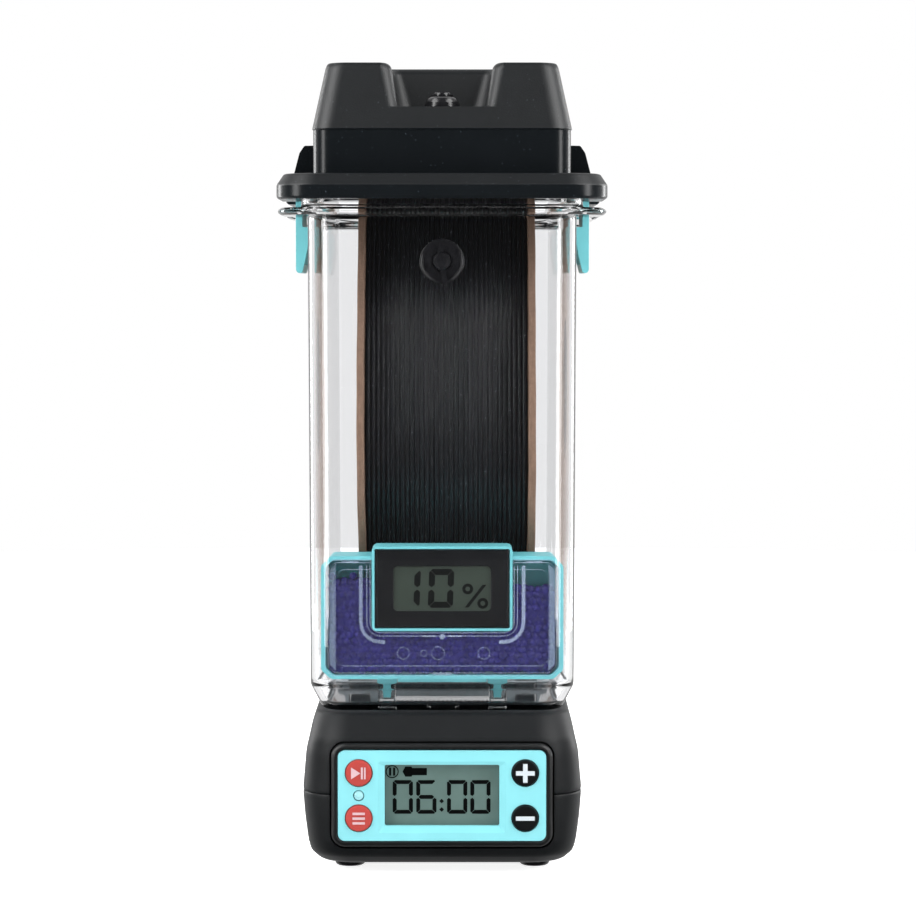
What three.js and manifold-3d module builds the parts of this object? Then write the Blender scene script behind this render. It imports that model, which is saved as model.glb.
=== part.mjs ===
// A heated dryer box for one spool of 3-D printer filament.
//
// A black dock holds the blower, the heater and the controls. A clear box stands on the dock and
// holds the spool on four rollers, with a desiccant cartridge in front of it. A black lid with four
// hinged latches closes the box. Millimetres, +Z up, front towards -Y, origin under the middle.

import * as THREE from 'three';
import { LoftGeometry } from 'three/addons/geometries/LoftGeometry.js';
import { mergeVertices } from 'three/addons/utils/BufferGeometryUtils.js';
import Module from 'manifold-3d';

const wasm = await Module();
wasm.setup();

// ---- Driving dimensions ------------------------------------------------------------------------

const GAP = 0.3; // between neighbouring pieces
const CORNER_STEPS = 4; // straight steps in each rounded corner

// Heights above the table
const DOCK_BOTTOM_Z = 3.4;
const DOCK_SEAM_Z = 29;
const DOCK_TOP_Z = 57.6;
const BOX_Z = DOCK_TOP_Z + GAP; // underside of the clear box
const LID_Z = 241; // underside of the lid flange
const LID_HEIGHT = 49;

// Dock
const DOCK_WALL = 2.4;
const DOCK_CORNER = 16;
const DOCK_WIDTH = 100.5; // at the seam, its widest place
const DOCK_DEPTH = 244;
const SCREW_X = 36;
const SCREW_Y = 75;
const FOOT_X = 33.5;
const FOOT_Y = 98;
const PORT_Y = 32; // air ports, in front of and behind the middle
const POWER_JACK_X = 30;
const POWER_JACK_Z = 18;
const ENDS = { front: -1, rear: 1 };
const SIDES = { left: -1, right: 1 };

// Control panel in the dock's front
const PANEL_WIDTH = 74.2;
const PANEL_HEIGHT = 32.5;
const PANEL_CORNER = 2.5;
const PANEL_FACE_Y = -122.5;
const PANEL_THICKNESS = 2.5;
const BEZEL_RIM = 2.4;
const BEZEL_PROUD = 0.5; // how far the bezel stands in front of the panel
const DISPLAY_WIDTH = 40.9;
const DISPLAY_HEIGHT = 21.9;
const BUTTON_X = 29.65;
const BUTTON_RISE = 8.1; // above and below the panel's middle
const BUTTON_RADIUS = 4.75;

// Clear box
const BOX_WIDTH = 96.5; // at the top
const BOX_DEPTH = 230.3;
const BOX_WALL = 2;
const BOX_CORNER = 12;
const FLANGE_WIDTH = 117.6;
const FLANGE_DEPTH = 250;
const FLANGE_BOTTOM = 177.5; // above the box's underside
const FLANGE_THICKNESS = 2.7;
const COLLAR_WIDTH = 101;
const COLLAR_DEPTH = 234.8;
const COLLAR_TOP = 185.1;
const COLLAR_WALL = 2.2;
const FRONT_PORT_HEIGHT = 161.1;

// Lid
const LID_FLANGE_WIDTH = 118;
const LID_BODY_WIDTH = 93;
const LID_BODY_DEPTH = 225;
const LID_CREASE = 25; // height where the sides start to lean in
const LID_TOP_WIDTH = 83;
const LID_TOP_DEPTH = 211;
const LID_WALL = 2.5;
const NOTCH_FLOOR = 33;
const LID_PORT_Y = -95;

// Latches
const LATCH_Y = 65; // latches stand in front of and behind the middle
const LATCH_HALF_LENGTH = 17;
const LATCH_PIVOT_X = 49.4;
const LATCH_PIVOT_HEIGHT = 13.6; // above the lid flange's underside
const LATCH_PIN_RADIUS = 1.3;

// Spool and the rollers under it
const SPOOL_RADIUS = 100;
const SPOOL_X = 1.5;
const SPOOL_AXIS_HEIGHT = 112.5; // above the box's underside
const SPOOL_HALF_WIDTH = 32.4;
const FLANGE_CARD = 2.7; // thickness of a cardboard flange
const ROLLER_RADIUS = 11;
const ROLLER_WIDTH = 7;
const ROLLER_Y = 58;
const AXLE_RADIUS = 3.7;

// Desiccant cartridge, with the hygrometer in its middle
const CARTRIDGE_Y = -98; // middle of its depth
const CARTRIDGE_HEIGHT = 11; // its underside, above the box's underside
const TRAY_WIDTH = 86.4;
const TRAY_HEIGHT = 44.4;
const TRAY_DEPTH = 19;
const TRAY_WALL = 1.6;
const TRAY_CHAMFER = 3.3;
const METER_WIDTH = 48;
const METER_HEIGHT = 28;
const METER_FRAME_WALL = 1;
const METER_MIDDLE = 32.7; // above the tray's underside
const LEG_X = 20;

// ---- Colours -----------------------------------------------------------------------------------

const finish = (color, roughness, metalness = 0) => (
  new THREE.MeshStandardMaterial({ color, roughness, metalness })
);
const BLACK_PLASTIC = finish('#222528', 0.62);
const TEAL_PLASTIC = finish('#7bd3d8', 0.45);
const PANEL_PLASTIC = finish('#9feff2', 0.5);
const RED_PLASTIC = finish('#e74c43', 0.4);
const CLEAR_PLASTIC = new THREE.MeshStandardMaterial({
  color: '#eef3f5', roughness: 0.08, metalness: 0, transparent: true, opacity: 0.3,
});
const DISPLAY_GLASS = finish('#5a736b', 0.2);
const METER_GLASS = finish('#3f4a40', 0.2);
const BLACK_RUBBER = finish('#17181a', 0.85);
const CARDBOARD = finish('#785f50', 0.9);
const BLACK_FILAMENT = finish('#1c1e20', 0.35);
const VIOLET_BEADS = finish('#372d6e', 0.5);
const STEEL = finish('#b8bbbe', 0.3, 1);
const ALUMINIUM = finish('#c4c7ca', 0.4, 1);
const BOARD_GREEN = finish('#1d5a38', 0.6);

// ---- Shapes ------------------------------------------------------------------------------------

// A level ring of points: a rectangle with rounded corners, counter-clockwise seen from above.
function ring(width, depth, radius, z, centreY = 0) {
  const points = [];
  const corners = [[1, 1], [-1, 1], [-1, -1], [1, -1]];
  corners.forEach(([sideX, sideY], quarter) => {
    for (let step = 0; step <= CORNER_STEPS; step += 1) {
      const angle = (quarter + step / CORNER_STEPS) * Math.PI / 2;
      const x = sideX * (width / 2 - radius) + radius * Math.cos(angle);
      const y = centreY + sideY * (depth / 2 - radius) + radius * Math.sin(angle);
      points.push(new THREE.Vector3(x, y, z));
    }
  });
  return points;
}

// A closed solid, ready to be joined and cut. Triangles that merging has collapsed are left out.
function toSolid(geometry) {
  const bare = new THREE.BufferGeometry().copy(geometry);
  bare.deleteAttribute('normal');
  bare.deleteAttribute('uv');
  const merged = mergeVertices(bare, 1e-4);
  const indices = merged.index.array;
  const triangles = [];
  for (let i = 0; i < indices.length; i += 3) {
    const [a, b, c] = [indices[i], indices[i + 1], indices[i + 2]];
    if (a !== b && b !== c && c !== a) {
      triangles.push(a, b, c);
    }
  }
  return new wasm.Manifold(new wasm.Mesh({
    numProp: 3,
    vertProperties: new Float32Array(merged.attributes.position.array),
    triVerts: new Uint32Array(triangles),
  }));
}

function toGeometry(solid) {
  const { vertProperties, triVerts } = solid.getMesh();
  const geometry = new THREE.BufferGeometry();
  geometry.setAttribute('position', new THREE.BufferAttribute(vertProperties, 3));
  geometry.setIndex(new THREE.BufferAttribute(triVerts, 1));
  geometry.computeVertexNormals();
  return geometry;
}

function loft(rings) {
  return toSolid(new LoftGeometry(rings, { capStart: true, capEnd: true }));
}

// A box from its lowest to its highest corner.
function block(low, high) {
  const size = high.map((value, axis) => value - low[axis]);
  const middle = high.map((value, axis) => (value + low[axis]) / 2);
  const geometry = new THREE.BoxGeometry(...size);
  return toSolid(geometry.translate(...middle));
}

// An upright round bar standing on height z.
function post(radius, height, x, y, z, segments = 14) {
  const geometry = new THREE.CylinderGeometry(radius, radius, height, segments);
  return toSolid(geometry.rotateX(Math.PI / 2).translate(x, y, z + height / 2));
}

// A bar along Y, from y0 to y1.
function barAlongY(radius, y0, y1, x, z, segments = 16) {
  const geometry = new THREE.CylinderGeometry(radius, radius, y1 - y0, segments);
  return toSolid(geometry.translate(x, (y0 + y1) / 2, z));
}

// A bar along X, from x0 to x1.
function barAlongX(radius, x0, x1, y, z, segments = 18) {
  const geometry = new THREE.CylinderGeometry(radius, radius, x1 - x0, segments);
  return toSolid(geometry.rotateZ(Math.PI / 2).translate((x0 + x1) / 2, y, z));
}

function outline(points) {
  return new THREE.Shape(points.map(([x, y]) => new THREE.Vector2(x, y)));
}

function roundedRectangle(width, height, radius, middleHeight = 0) {
  const points = ring(width, height, radius, 0, middleHeight);
  return new THREE.Shape(points.map((point) => new THREE.Vector2(point.x, point.y)));
}

// A rectangle whose corners are cut off at 45 degrees, standing on height 0.
function chamferedRectangle(width, height, chamfer, inset) {
  const half = width / 2 - inset;
  const low = inset;
  const high = height - inset;
  const cut = chamfer;
  return outline([
    [-half + cut, low], [half - cut, low], [half, low + cut], [half, high - cut],
    [half - cut, high], [-half + cut, high], [-half, high - cut], [-half, low + cut],
  ]);
}

// A shape drawn in X and Z, pushed out along Y from y0 to y1.
function extrudeAlongY(shape, y0, y1) {
  const geometry = new THREE.ExtrudeGeometry(shape, {
    depth: y1 - y0, bevelEnabled: false, curveSegments: 8,
  });
  return toSolid(geometry.rotateX(Math.PI / 2).translate(0, y1, 0));
}

// A closed outline of [radius, height] points, turned about the Z axis.
function turned(profile, segments = 20) {
  const points = [...profile, profile[0]].map(([radius, height]) => new THREE.Vector2(radius, height));
  return toSolid(new THREE.LatheGeometry(points, segments).rotateX(Math.PI / 2));
}

function piece(name, solid, material) {
  const mesh = new THREE.Mesh(toGeometry(solid), material);
  mesh.name = name;
  return mesh;
}

function placed(mesh, x, y, z) {
  mesh.position.set(x, y, z);
  return mesh;
}

// ---- Dock --------------------------------------------------------------------------------------

// The dock's outline, drawn in by `inset` all round, between two heights.
function dockForm(inset, bottom, top) {
  const level = (width, depth, z) => (
    ring(width - 2 * inset, depth - 2 * inset, DOCK_CORNER - inset, z)
  );
  return loft([
    level(DOCK_WIDTH - 13.5, DOCK_DEPTH - 12, bottom),
    level(DOCK_WIDTH - 7, DOCK_DEPTH - 4.5, bottom + 2.1),
    level(DOCK_WIDTH - 4.1, DOCK_DEPTH - 1, bottom + 5.6),
    level(DOCK_WIDTH, DOCK_DEPTH, DOCK_SEAM_Z),
    level(DOCK_WIDTH - 4.5, DOCK_DEPTH, top - 9.1),
    level(DOCK_WIDTH - 9, DOCK_DEPTH - 16, top),
  ]);
}

// The opening in the dock's front that the panel bezel fills.
function panelOpening() {
  const width = PANEL_WIDTH + 2 * (BEZEL_RIM + GAP) + GAP;
  const height = PANEL_HEIGHT + 2 * (BEZEL_RIM + GAP) + GAP;
  const shape = roundedRectangle(width, height, PANEL_CORNER + BEZEL_RIM, DOCK_SEAM_Z);
  return extrudeAlongY(shape, PANEL_FACE_Y - 5, PANEL_FACE_Y + 12);
}

const SCREW_SEAT_Z = 8; // underside of the wall that a screw head bears on
const SCREW_BOSS_TOP = 10.7;
const SCREW_PLACES = [
  [-SCREW_X, -SCREW_Y], [SCREW_X, -SCREW_Y], [-SCREW_X, SCREW_Y], [SCREW_X, SCREW_Y],
];

function dockUpperShell() {
  const roomAbove = DOCK_TOP_Z - DOCK_WALL;
  let shell = dockForm(0, DOCK_BOTTOM_Z, DOCK_TOP_Z);
  shell = shell.subtract(dockForm(DOCK_WALL, DOCK_BOTTOM_Z + DOCK_WALL, roomAbove));
  shell = shell.subtract(block([-80, -150, 0], [80, 150, DOCK_SEAM_Z + GAP / 2]));
  SCREW_PLACES.forEach(([x, y]) => {
    const bossBottom = SCREW_BOSS_TOP + GAP;
    shell = shell.add(post(3.5, roomAbove + 0.5 - bossBottom, x, y, bossBottom));
    shell = shell.subtract(post(1.5, 25, x, y, bossBottom - 1, 8));
  });
  shell = shell.subtract(panelOpening());
  [-PORT_Y, PORT_Y].forEach((y) => {
    shell = shell.subtract(post(12, 10, 0, y, DOCK_TOP_Z - 5, 24));
  });
  return shell;
}

function dockLowerShell() {
  let shell = dockForm(0, DOCK_BOTTOM_Z, DOCK_TOP_Z);
  shell = shell.subtract(dockForm(DOCK_WALL, DOCK_BOTTOM_Z + DOCK_WALL, DOCK_TOP_Z - DOCK_WALL));
  shell = shell.subtract(block([-80, -150, DOCK_SEAM_Z - GAP / 2], [80, 150, 80]));
  SCREW_PLACES.forEach(([x, y]) => {
    shell = shell.add(post(5.5, SCREW_BOSS_TOP - DOCK_BOTTOM_Z - 1, x, y, DOCK_BOTTOM_Z + 1));
    shell = shell.subtract(post(3.6, SCREW_SEAT_Z, x, y, 0));
    shell = shell.subtract(post(1.9, 20, x, y, 0, 8));
  });
  [-FOOT_X, FOOT_X].forEach((x) => {
    [-FOOT_Y, FOOT_Y].forEach((y) => {
      shell = shell.subtract(post(2.3, 10, x, y, 0, 12));
    });
  });
  shell = shell.subtract(panelOpening());
  return shell.subtract(barAlongY(4.6, 110, 130, POWER_JACK_X, POWER_JACK_Z));
}

function panelBezel() {
  const outer = roundedRectangle(
    PANEL_WIDTH + 2 * (BEZEL_RIM + GAP) - GAP,
    PANEL_HEIGHT + 2 * (BEZEL_RIM + GAP) - GAP,
    PANEL_CORNER + BEZEL_RIM - GAP,
    DOCK_SEAM_Z,
  );
  const inner = roundedRectangle(
    PANEL_WIDTH + 2 * GAP, PANEL_HEIGHT + 2 * GAP, PANEL_CORNER + GAP, DOCK_SEAM_Z,
  );
  const frame = extrudeAlongY(outer, PANEL_FACE_Y - BEZEL_PROUD, PANEL_FACE_Y + 5.5);
  return frame.subtract(extrudeAlongY(inner, PANEL_FACE_Y - 5, PANEL_FACE_Y + 10));
}

const BUTTON_PLACES = {
  button_start_pause: [-BUTTON_X, DOCK_SEAM_Z + BUTTON_RISE],
  button_mode: [-BUTTON_X, DOCK_SEAM_Z - BUTTON_RISE],
  button_plus: [BUTTON_X, DOCK_SEAM_Z + BUTTON_RISE],
  button_minus: [BUTTON_X, DOCK_SEAM_Z - BUTTON_RISE],
};
const STATUS_LIGHT_RADIUS = 1.75;

// The display window flares out towards the front.
function displayWindow() {
  const backY = PANEL_FACE_Y + PANEL_THICKNESS;
  const flare = 1.6;
  const level = (grow, y) => ring(DISPLAY_WIDTH + 2 * grow, DISPLAY_HEIGHT + 2 * grow, 0.8, y);
  const opening = new LoftGeometry([level(-0.04, -backY - 1), level(flare, -PANEL_FACE_Y + 0.1)], {
    capStart: true, capEnd: true,
  });
  return toSolid(opening.rotateX(Math.PI / 2).translate(0, 0, DOCK_SEAM_Z));
}

function controlPanel() {
  const shape = roundedRectangle(PANEL_WIDTH, PANEL_HEIGHT, PANEL_CORNER, DOCK_SEAM_Z);
  let panel = extrudeAlongY(shape, PANEL_FACE_Y, PANEL_FACE_Y + PANEL_THICKNESS);
  panel = panel.subtract(displayWindow());
  Object.values(BUTTON_PLACES).forEach(([x, z]) => {
    panel = panel.subtract(barAlongY(BUTTON_RADIUS + GAP, -130, -110, x, z, 24));
  });
  return panel.subtract(barAlongY(STATUS_LIGHT_RADIUS + GAP, -130, -110, -BUTTON_X, DOCK_SEAM_Z, 16));
}

const BOARD_FACE_Y = PANEL_FACE_Y + 10.5;
const SWITCH_HEIGHT = 3.2;

// A round cap with a retaining collar behind the panel and a stem towards its switch.
// Drawn with its face at y = 0.
function button() {
  const proud = 0.8;
  const behindPanel = proud + PANEL_THICKNESS + GAP;
  const stemEnd = BOARD_FACE_Y - SWITCH_HEIGHT - 1.2 - (PANEL_FACE_Y - proud);
  const cap = barAlongY(BUTTON_RADIUS, 0, behindPanel + 0.5, 0, 0, 24);
  const collar = barAlongY(BUTTON_RADIUS + 0.9, behindPanel, behindPanel + 1, 0, 0, 24);
  return cap.add(collar).add(barAlongY(2, 1, stemEnd, 0, 0, 8));
}

function controlBoard() {
  const [width, height, thickness] = [72, 30, 1.6];
  const low = DOCK_SEAM_Z - height / 2;
  let board = block(
    [-width / 2, BOARD_FACE_Y, low], [width / 2, BOARD_FACE_Y + thickness, low + height],
  );
  Object.values(BUTTON_PLACES).forEach(([x, z]) => {
    const half = 3;
    board = board.add(block(
      [x - half, BOARD_FACE_Y - SWITCH_HEIGHT, z - half], [x + half, BOARD_FACE_Y + 0.5, z + half],
    ));
  });
  return board;
}

// Foot with a stud that plugs into the floor of the dock. Drawn with its sole at z = 0.
function foot() {
  const pad = turned([[0, 0], [4.9, 0], [5.5, 0.8], [5.5, 3.1], [0, 3.1]], 24);
  return pad.add(post(2, 3, 0, 0, 2.5, 12));
}

// Pan-head screw, drawn with the head's bearing face at z = 0 and the shank upwards.
function screw() {
  return post(3.2, 2, 0, 0, -2, 16).add(post(1.2, 12, 0, 0, -0.5, 10));
}

const BLOWER_Y = 78;
const BLOWER_HALF = 26;
const BLOWER_Z = DOCK_BOTTOM_Z + DOCK_WALL + GAP;
const BLOWER_HEIGHT = 17;
const IMPELLER_RADIUS = 20;

// Scroll case: a round room for the impeller, an inlet above it and an outlet towards the heater.
function blowerHousing() {
  const wall = 1.5;
  const low = BLOWER_Z + wall;
  let housing = block(
    [-BLOWER_HALF, BLOWER_Y - BLOWER_HALF, BLOWER_Z],
    [BLOWER_HALF, BLOWER_Y + BLOWER_HALF, BLOWER_Z + BLOWER_HEIGHT],
  );
  const room = BLOWER_HEIGHT - 2 * wall;
  housing = housing.subtract(post(IMPELLER_RADIUS + 2.5, room, 0, BLOWER_Y, low, 28));
  housing = housing.subtract(post(14, BLOWER_HEIGHT, 0, BLOWER_Y, low, 24));
  const outlet = block([-20, BLOWER_Y - BLOWER_HALF - 1, low], [4, BLOWER_Y - 4, low + room]);
  return housing.subtract(outlet).add(post(2, 3, 0, BLOWER_Y, BLOWER_Z + 0.5, 12));
}

// Impeller: a floor disc, a hub and straight blades round the rim. Drawn about the Z axis.
function blowerImpeller() {
  const bladeCount = 12;
  let impeller = post(IMPELLER_RADIUS, 1.5, 0, 0, 0, 32).add(post(7, 9, 0, 0, 0.5, 16));
  for (let index = 0; index < bladeCount; index += 1) {
    const blade = new THREE.BoxGeometry(7, 1, 9.5).translate(16, 0, 5.5);
    impeller = impeller.add(toSolid(blade.rotateZ(2 * Math.PI * index / bladeCount)));
  }
  return impeller.subtract(post(2.4, 3.2, 0, 0, -0.5, 12));
}

const HEATER_Y = 36;
const DUCT_WALL = 1.4;

// Heater: an aluminium block with upright fins, open front to back for the air.
function heaterCore() {
  const [half, depth, height] = [22, 16, 14];
  const low = BLOWER_Z + DUCT_WALL + GAP;
  const finCount = 9;
  let heater = block([-half, HEATER_Y - depth / 2, low], [half, HEATER_Y + depth / 2, low + 3]);
  for (let index = 0; index < finCount; index += 1) {
    const x = -half + 0.6 + index * (2 * half - 1.2) / (finCount - 1);
    heater = heater.add(block(
      [x - 0.6, HEATER_Y - depth / 2, low + 1], [x + 0.6, HEATER_Y + depth / 2, low + height],
    ));
  }
  return heater;
}

// Duct round the heater, from the blower's outlet up to the supply port.
function airDuct() {
  const wall = DUCT_WALL;
  const [half, back, front] = [24.5, BLOWER_Y - BLOWER_HALF - GAP, HEATER_Y - 24];
  const [low, high] = [BLOWER_Z, BLOWER_Z + 18.5];
  let duct = block([-half, front, low], [half, back, high]);
  duct = duct.subtract(block([-half + wall, front + wall, low + wall], [half - wall, back + 1, high - wall]));
  const chimneyTop = DOCK_TOP_Z - DOCK_WALL - 2.1;
  const chimney = post(13, chimneyTop - high + 1, 0, PORT_Y, high - 1, 24);
  return duct.add(chimney).subtract(post(11, 60, 0, PORT_Y, high - 3, 24));
}

function powerJack() {
  const barrel = barAlongY(4.2, 112, 121, POWER_JACK_X, POWER_JACK_Z);
  const body = block(
    [POWER_JACK_X - 5, 104, POWER_JACK_Z - 5.5], [POWER_JACK_X + 5, 117.5, POWER_JACK_Z + 5.5],
  );
  return body.add(barrel).subtract(barAlongY(3, 107, 122, POWER_JACK_X, POWER_JACK_Z));
}

// Rubber seal that lines an air port, with its collar under the dock's top. About the Z axis.
function portSeal() {
  const collarTop = DOCK_TOP_Z - DOCK_WALL - GAP;
  return turned([
    [8, collarTop - 1.5], [14, collarTop - 1.5], [14, collarTop],
    [11.7, collarTop], [11.7, DOCK_TOP_Z + 0.05], [8, DOCK_TOP_Z + 0.05],
  ]);
}

function buildDock() {
  const dock = new THREE.Group();
  dock.add(piece('dock_upper_shell', dockUpperShell(), BLACK_PLASTIC));
  dock.add(piece('dock_lower_shell', dockLowerShell(), BLACK_PLASTIC));
  dock.add(piece('panel_bezel', panelBezel(), BLACK_PLASTIC));
  dock.add(piece('control_panel', controlPanel(), PANEL_PLASTIC));
  const displayBack = PANEL_FACE_Y + PANEL_THICKNESS + GAP;
  const display = roundedRectangle(DISPLAY_WIDTH + 4, DISPLAY_HEIGHT + 4, 1, DOCK_SEAM_Z);
  dock.add(piece('display_lcd', extrudeAlongY(display, displayBack, displayBack + 3), DISPLAY_GLASS));
  const light = barAlongY(
    STATUS_LIGHT_RADIUS, PANEL_FACE_Y - 0.2, BOARD_FACE_Y - GAP, -BUTTON_X, DOCK_SEAM_Z, 16,
  );
  dock.add(piece('status_light', light, CLEAR_PLASTIC));
  dock.add(piece('control_board', controlBoard(), BOARD_GREEN));
  Object.entries(BUTTON_PLACES).forEach(([name, [x, z]]) => {
    const material = x < 0 ? RED_PLASTIC : BLACK_PLASTIC;
    dock.add(placed(piece(name, button(), material), x, PANEL_FACE_Y - 0.8, z));
  });
  dock.add(piece('blower_housing', blowerHousing(), BLACK_PLASTIC));
  const impeller = piece('blower_impeller', blowerImpeller(), BLACK_PLASTIC);
  dock.add(placed(impeller, 0, BLOWER_Y, BLOWER_Z + 2.2));
  dock.add(piece('heater_core', heaterCore(), ALUMINIUM));
  dock.add(piece('air_duct', airDuct(), BLACK_PLASTIC));
  dock.add(piece('power_jack', powerJack(), BLACK_PLASTIC));
  dock.add(placed(piece('port_seal_supply', portSeal(), BLACK_RUBBER), 0, PORT_Y, 0));
  dock.add(placed(piece('port_seal_return', portSeal(), BLACK_RUBBER), 0, -PORT_Y, 0));
  Object.entries(ENDS).forEach(([end, endSign]) => {
    Object.entries(SIDES).forEach(([side, sideSign]) => {
      const pad = piece(`foot_${end}_${side}`, foot(), BLACK_RUBBER);
      dock.add(placed(pad, sideSign * FOOT_X, endSign * FOOT_Y, 0));
      const fastener = piece(`base_screw_${end}_${side}`, screw(), STEEL);
      dock.add(placed(fastener, sideSign * SCREW_X, endSign * SCREW_Y, SCREW_SEAT_Z - GAP));
    });
  });
  return dock;
}

// ---- Clear box ---------------------------------------------------------------------------------

const BOX_FLOOR = 2.5;
const VALVE_HOLE_RADIUS = 9;

// Room beside the four latches, outwards from x = inner and wide enough for them to swing through.
function latchClearance(inner, bottom, top, sideGap = 2 * GAP) {
  const room = LATCH_HALF_LENGTH + sideGap;
  let clearance = null;
  [-1, 1].forEach((side) => {
    [-LATCH_Y, LATCH_Y].forEach((y) => {
      const [near, far] = [side * inner, side * 70];
      const cut = block(
        [Math.min(near, far), y - room, bottom], [Math.max(near, far), y + room, top],
      );
      clearance = clearance ? clearance.add(cut) : cut;
    });
  });
  return clearance;
}

// Socket on the floor that takes one leg of the cartridge.
function legSocket(x) {
  const middle = CARTRIDGE_Y + 1;
  const socket = block([x - 3.2, middle - 4, BOX_FLOOR - 0.5], [x + 3.2, middle + 4, 6.4]);
  return socket.subtract(block([x - 1.9, middle - 2.6, BOX_FLOOR + 0.6], [x + 1.9, middle + 2.6, 10]));
}

function boxShell() {
  const flangeTop = FLANGE_BOTTOM + FLANGE_THICKNESS;
  let shell = loft([
    ring(BOX_WIDTH - 9.5, BOX_DEPTH - 9.5, BOX_CORNER - 3, 0),
    ring(BOX_WIDTH - 1.3, BOX_DEPTH - 1.3, BOX_CORNER, 8.7),
    ring(BOX_WIDTH, BOX_DEPTH, BOX_CORNER, FLANGE_BOTTOM + 1),
  ]);
  shell = shell.add(loft([
    ring(FLANGE_WIDTH, FLANGE_DEPTH, 20, FLANGE_BOTTOM),
    ring(FLANGE_WIDTH, FLANGE_DEPTH, 20, flangeTop),
  ]));
  shell = shell.add(loft([
    ring(COLLAR_WIDTH, COLLAR_DEPTH, BOX_CORNER + COLLAR_WALL, flangeTop - 0.4),
    ring(COLLAR_WIDTH, COLLAR_DEPTH, BOX_CORNER + COLLAR_WALL, COLLAR_TOP),
  ]));
  shell = shell.subtract(latchClearance(BOX_WIDTH / 2 + GAP, FLANGE_BOTTOM - 1, COLLAR_TOP + 1));
  const wall = 2 * BOX_WALL;
  shell = shell.subtract(loft([
    ring(BOX_WIDTH - 9.5 - wall, BOX_DEPTH - 9.5 - wall, BOX_CORNER - 4, BOX_FLOOR),
    ring(BOX_WIDTH - 1.3 - wall, BOX_DEPTH - 1.3 - wall, BOX_CORNER - 2, 9.7),
    ring(BOX_WIDTH - wall, BOX_DEPTH - wall, BOX_CORNER - 2, COLLAR_TOP + 5),
  ]));
  const lip = 2 * COLLAR_WALL;
  const collarRoom = loft([
    ring(COLLAR_WIDTH - lip, COLLAR_DEPTH - lip, BOX_CORNER, flangeTop + 0.6),
    ring(COLLAR_WIDTH - lip, COLLAR_DEPTH - lip, BOX_CORNER, COLLAR_TOP + 5),
  ]);
  // Beside each latch the collar steps in, in line with the box's wall, so the latch can lift past.
  const steppedWall = latchClearance(
    BOX_WIDTH / 2 - BOX_WALL - GAP, flangeTop, COLLAR_TOP + 6, 2 * GAP + COLLAR_WALL,
  );
  shell = shell.subtract(collarRoom.subtract(steppedWall));
  shell = shell.add(legSocket(-LEG_X)).add(legSocket(LEG_X));
  shell = shell.subtract(barAlongY(5, -130, -100, 0, FRONT_PORT_HEIGHT, 24));
  [-PORT_Y, PORT_Y].forEach((y) => {
    shell = shell.subtract(post(VALVE_HOLE_RADIUS, 10, 0, y, -4, 24));
  });
  return shell;
}

// Ring that lines a port in the box's floor and gives the valve disc its seat. About the Z axis.
function valveSeat() {
  return turned([
    [6, 0.2], [VALVE_HOLE_RADIUS - GAP, 0.2], [VALVE_HOLE_RADIUS - GAP, BOX_FLOOR + GAP],
    [VALVE_HOLE_RADIUS + 2, BOX_FLOOR + GAP], [VALVE_HOLE_RADIUS + 2, BOX_FLOOR + 1.5], [6, BOX_FLOOR + 1.5],
  ]);
}

// Valve disc with a guide stem that hangs into the port. About the Z axis.
function valveDisc() {
  const seatTop = BOX_FLOOR + 1.5;
  const disc = post(8.5, 1.8, 0, 0, seatTop + GAP, 24);
  return disc.add(post(2, 3.5, 0, 0, seatTop + GAP - 3, 12));
}

const CRADLE_Z = BOX_FLOOR + GAP;
const AXLE_HEIGHT = SPOOL_AXIS_HEIGHT - Math.sqrt((SPOOL_RADIUS + ROLLER_RADIUS + 0.5) ** 2 - ROLLER_Y ** 2);
const CRADLE_HALF_WIDTH = 40.5;

// Cradle: a base frame round the air ports, with four pairs of ears that carry the axles.
function rollerCradle() {
  const top = CRADLE_Z + 2.5;
  let cradle = block([-CRADLE_HALF_WIDTH, -70, CRADLE_Z], [CRADLE_HALF_WIDTH, 70, top]);
  cradle = cradle.subtract(block([-20, -50, CRADLE_Z - 1], [20, 50, top + 1]));
  const rollerGap = ROLLER_WIDTH / 2 + 0.5;
  const ear = 3;
  [-ROLLER_Y, ROLLER_Y].forEach((y) => {
    [-1, 1].forEach((side) => {
      const rollerX = side * (SPOOL_HALF_WIDTH - FLANGE_CARD / 2);
      const room = [rollerX - rollerGap, rollerX + rollerGap];
      const blockLow = [room[0] - ear, y - 6, CRADLE_Z + 0.5];
      cradle = cradle.add(block(blockLow, [room[1] + ear, y + 6, AXLE_HEIGHT + 5.5]));
      cradle = cradle.subtract(block([room[0], y - 14, top - 1], [room[1], y + 14, AXLE_HEIGHT + 20]));
    });
    cradle = cradle.subtract(barAlongX(AXLE_RADIUS + GAP, -60, 60, y, AXLE_HEIGHT));
  });
  return cradle;
}

// Ball bearing used as a roller. Drawn about the X axis through its middle.
function roller() {
  const half = ROLLER_WIDTH / 2;
  const body = barAlongX(ROLLER_RADIUS, -half, half, 0, 0, 32);
  return body.subtract(barAlongX(AXLE_RADIUS + GAP, -10, 10, 0, 0));
}

// Rubber grommet that lines a port. Drawn about the Z axis, with the wall between z = -wall and 0
// and its domed collar above.
function grommet(outerRadius, domeHeight, wall) {
  const [bore, neck] = [3.3, 4.7];
  const inside = -wall - GAP;
  return turned([
    [bore, inside - 1.5], [6.5, inside - 1.5], [6.5, inside], [neck, inside],
    [neck, GAP], [outerRadius, GAP], [outerRadius - 0.4, GAP + 0.45 * domeHeight],
    [outerRadius - 1.4, GAP + 0.85 * domeHeight], [outerRadius - 2.4, GAP + domeHeight],
    [bore, GAP + domeHeight],
  ]);
}

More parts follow.
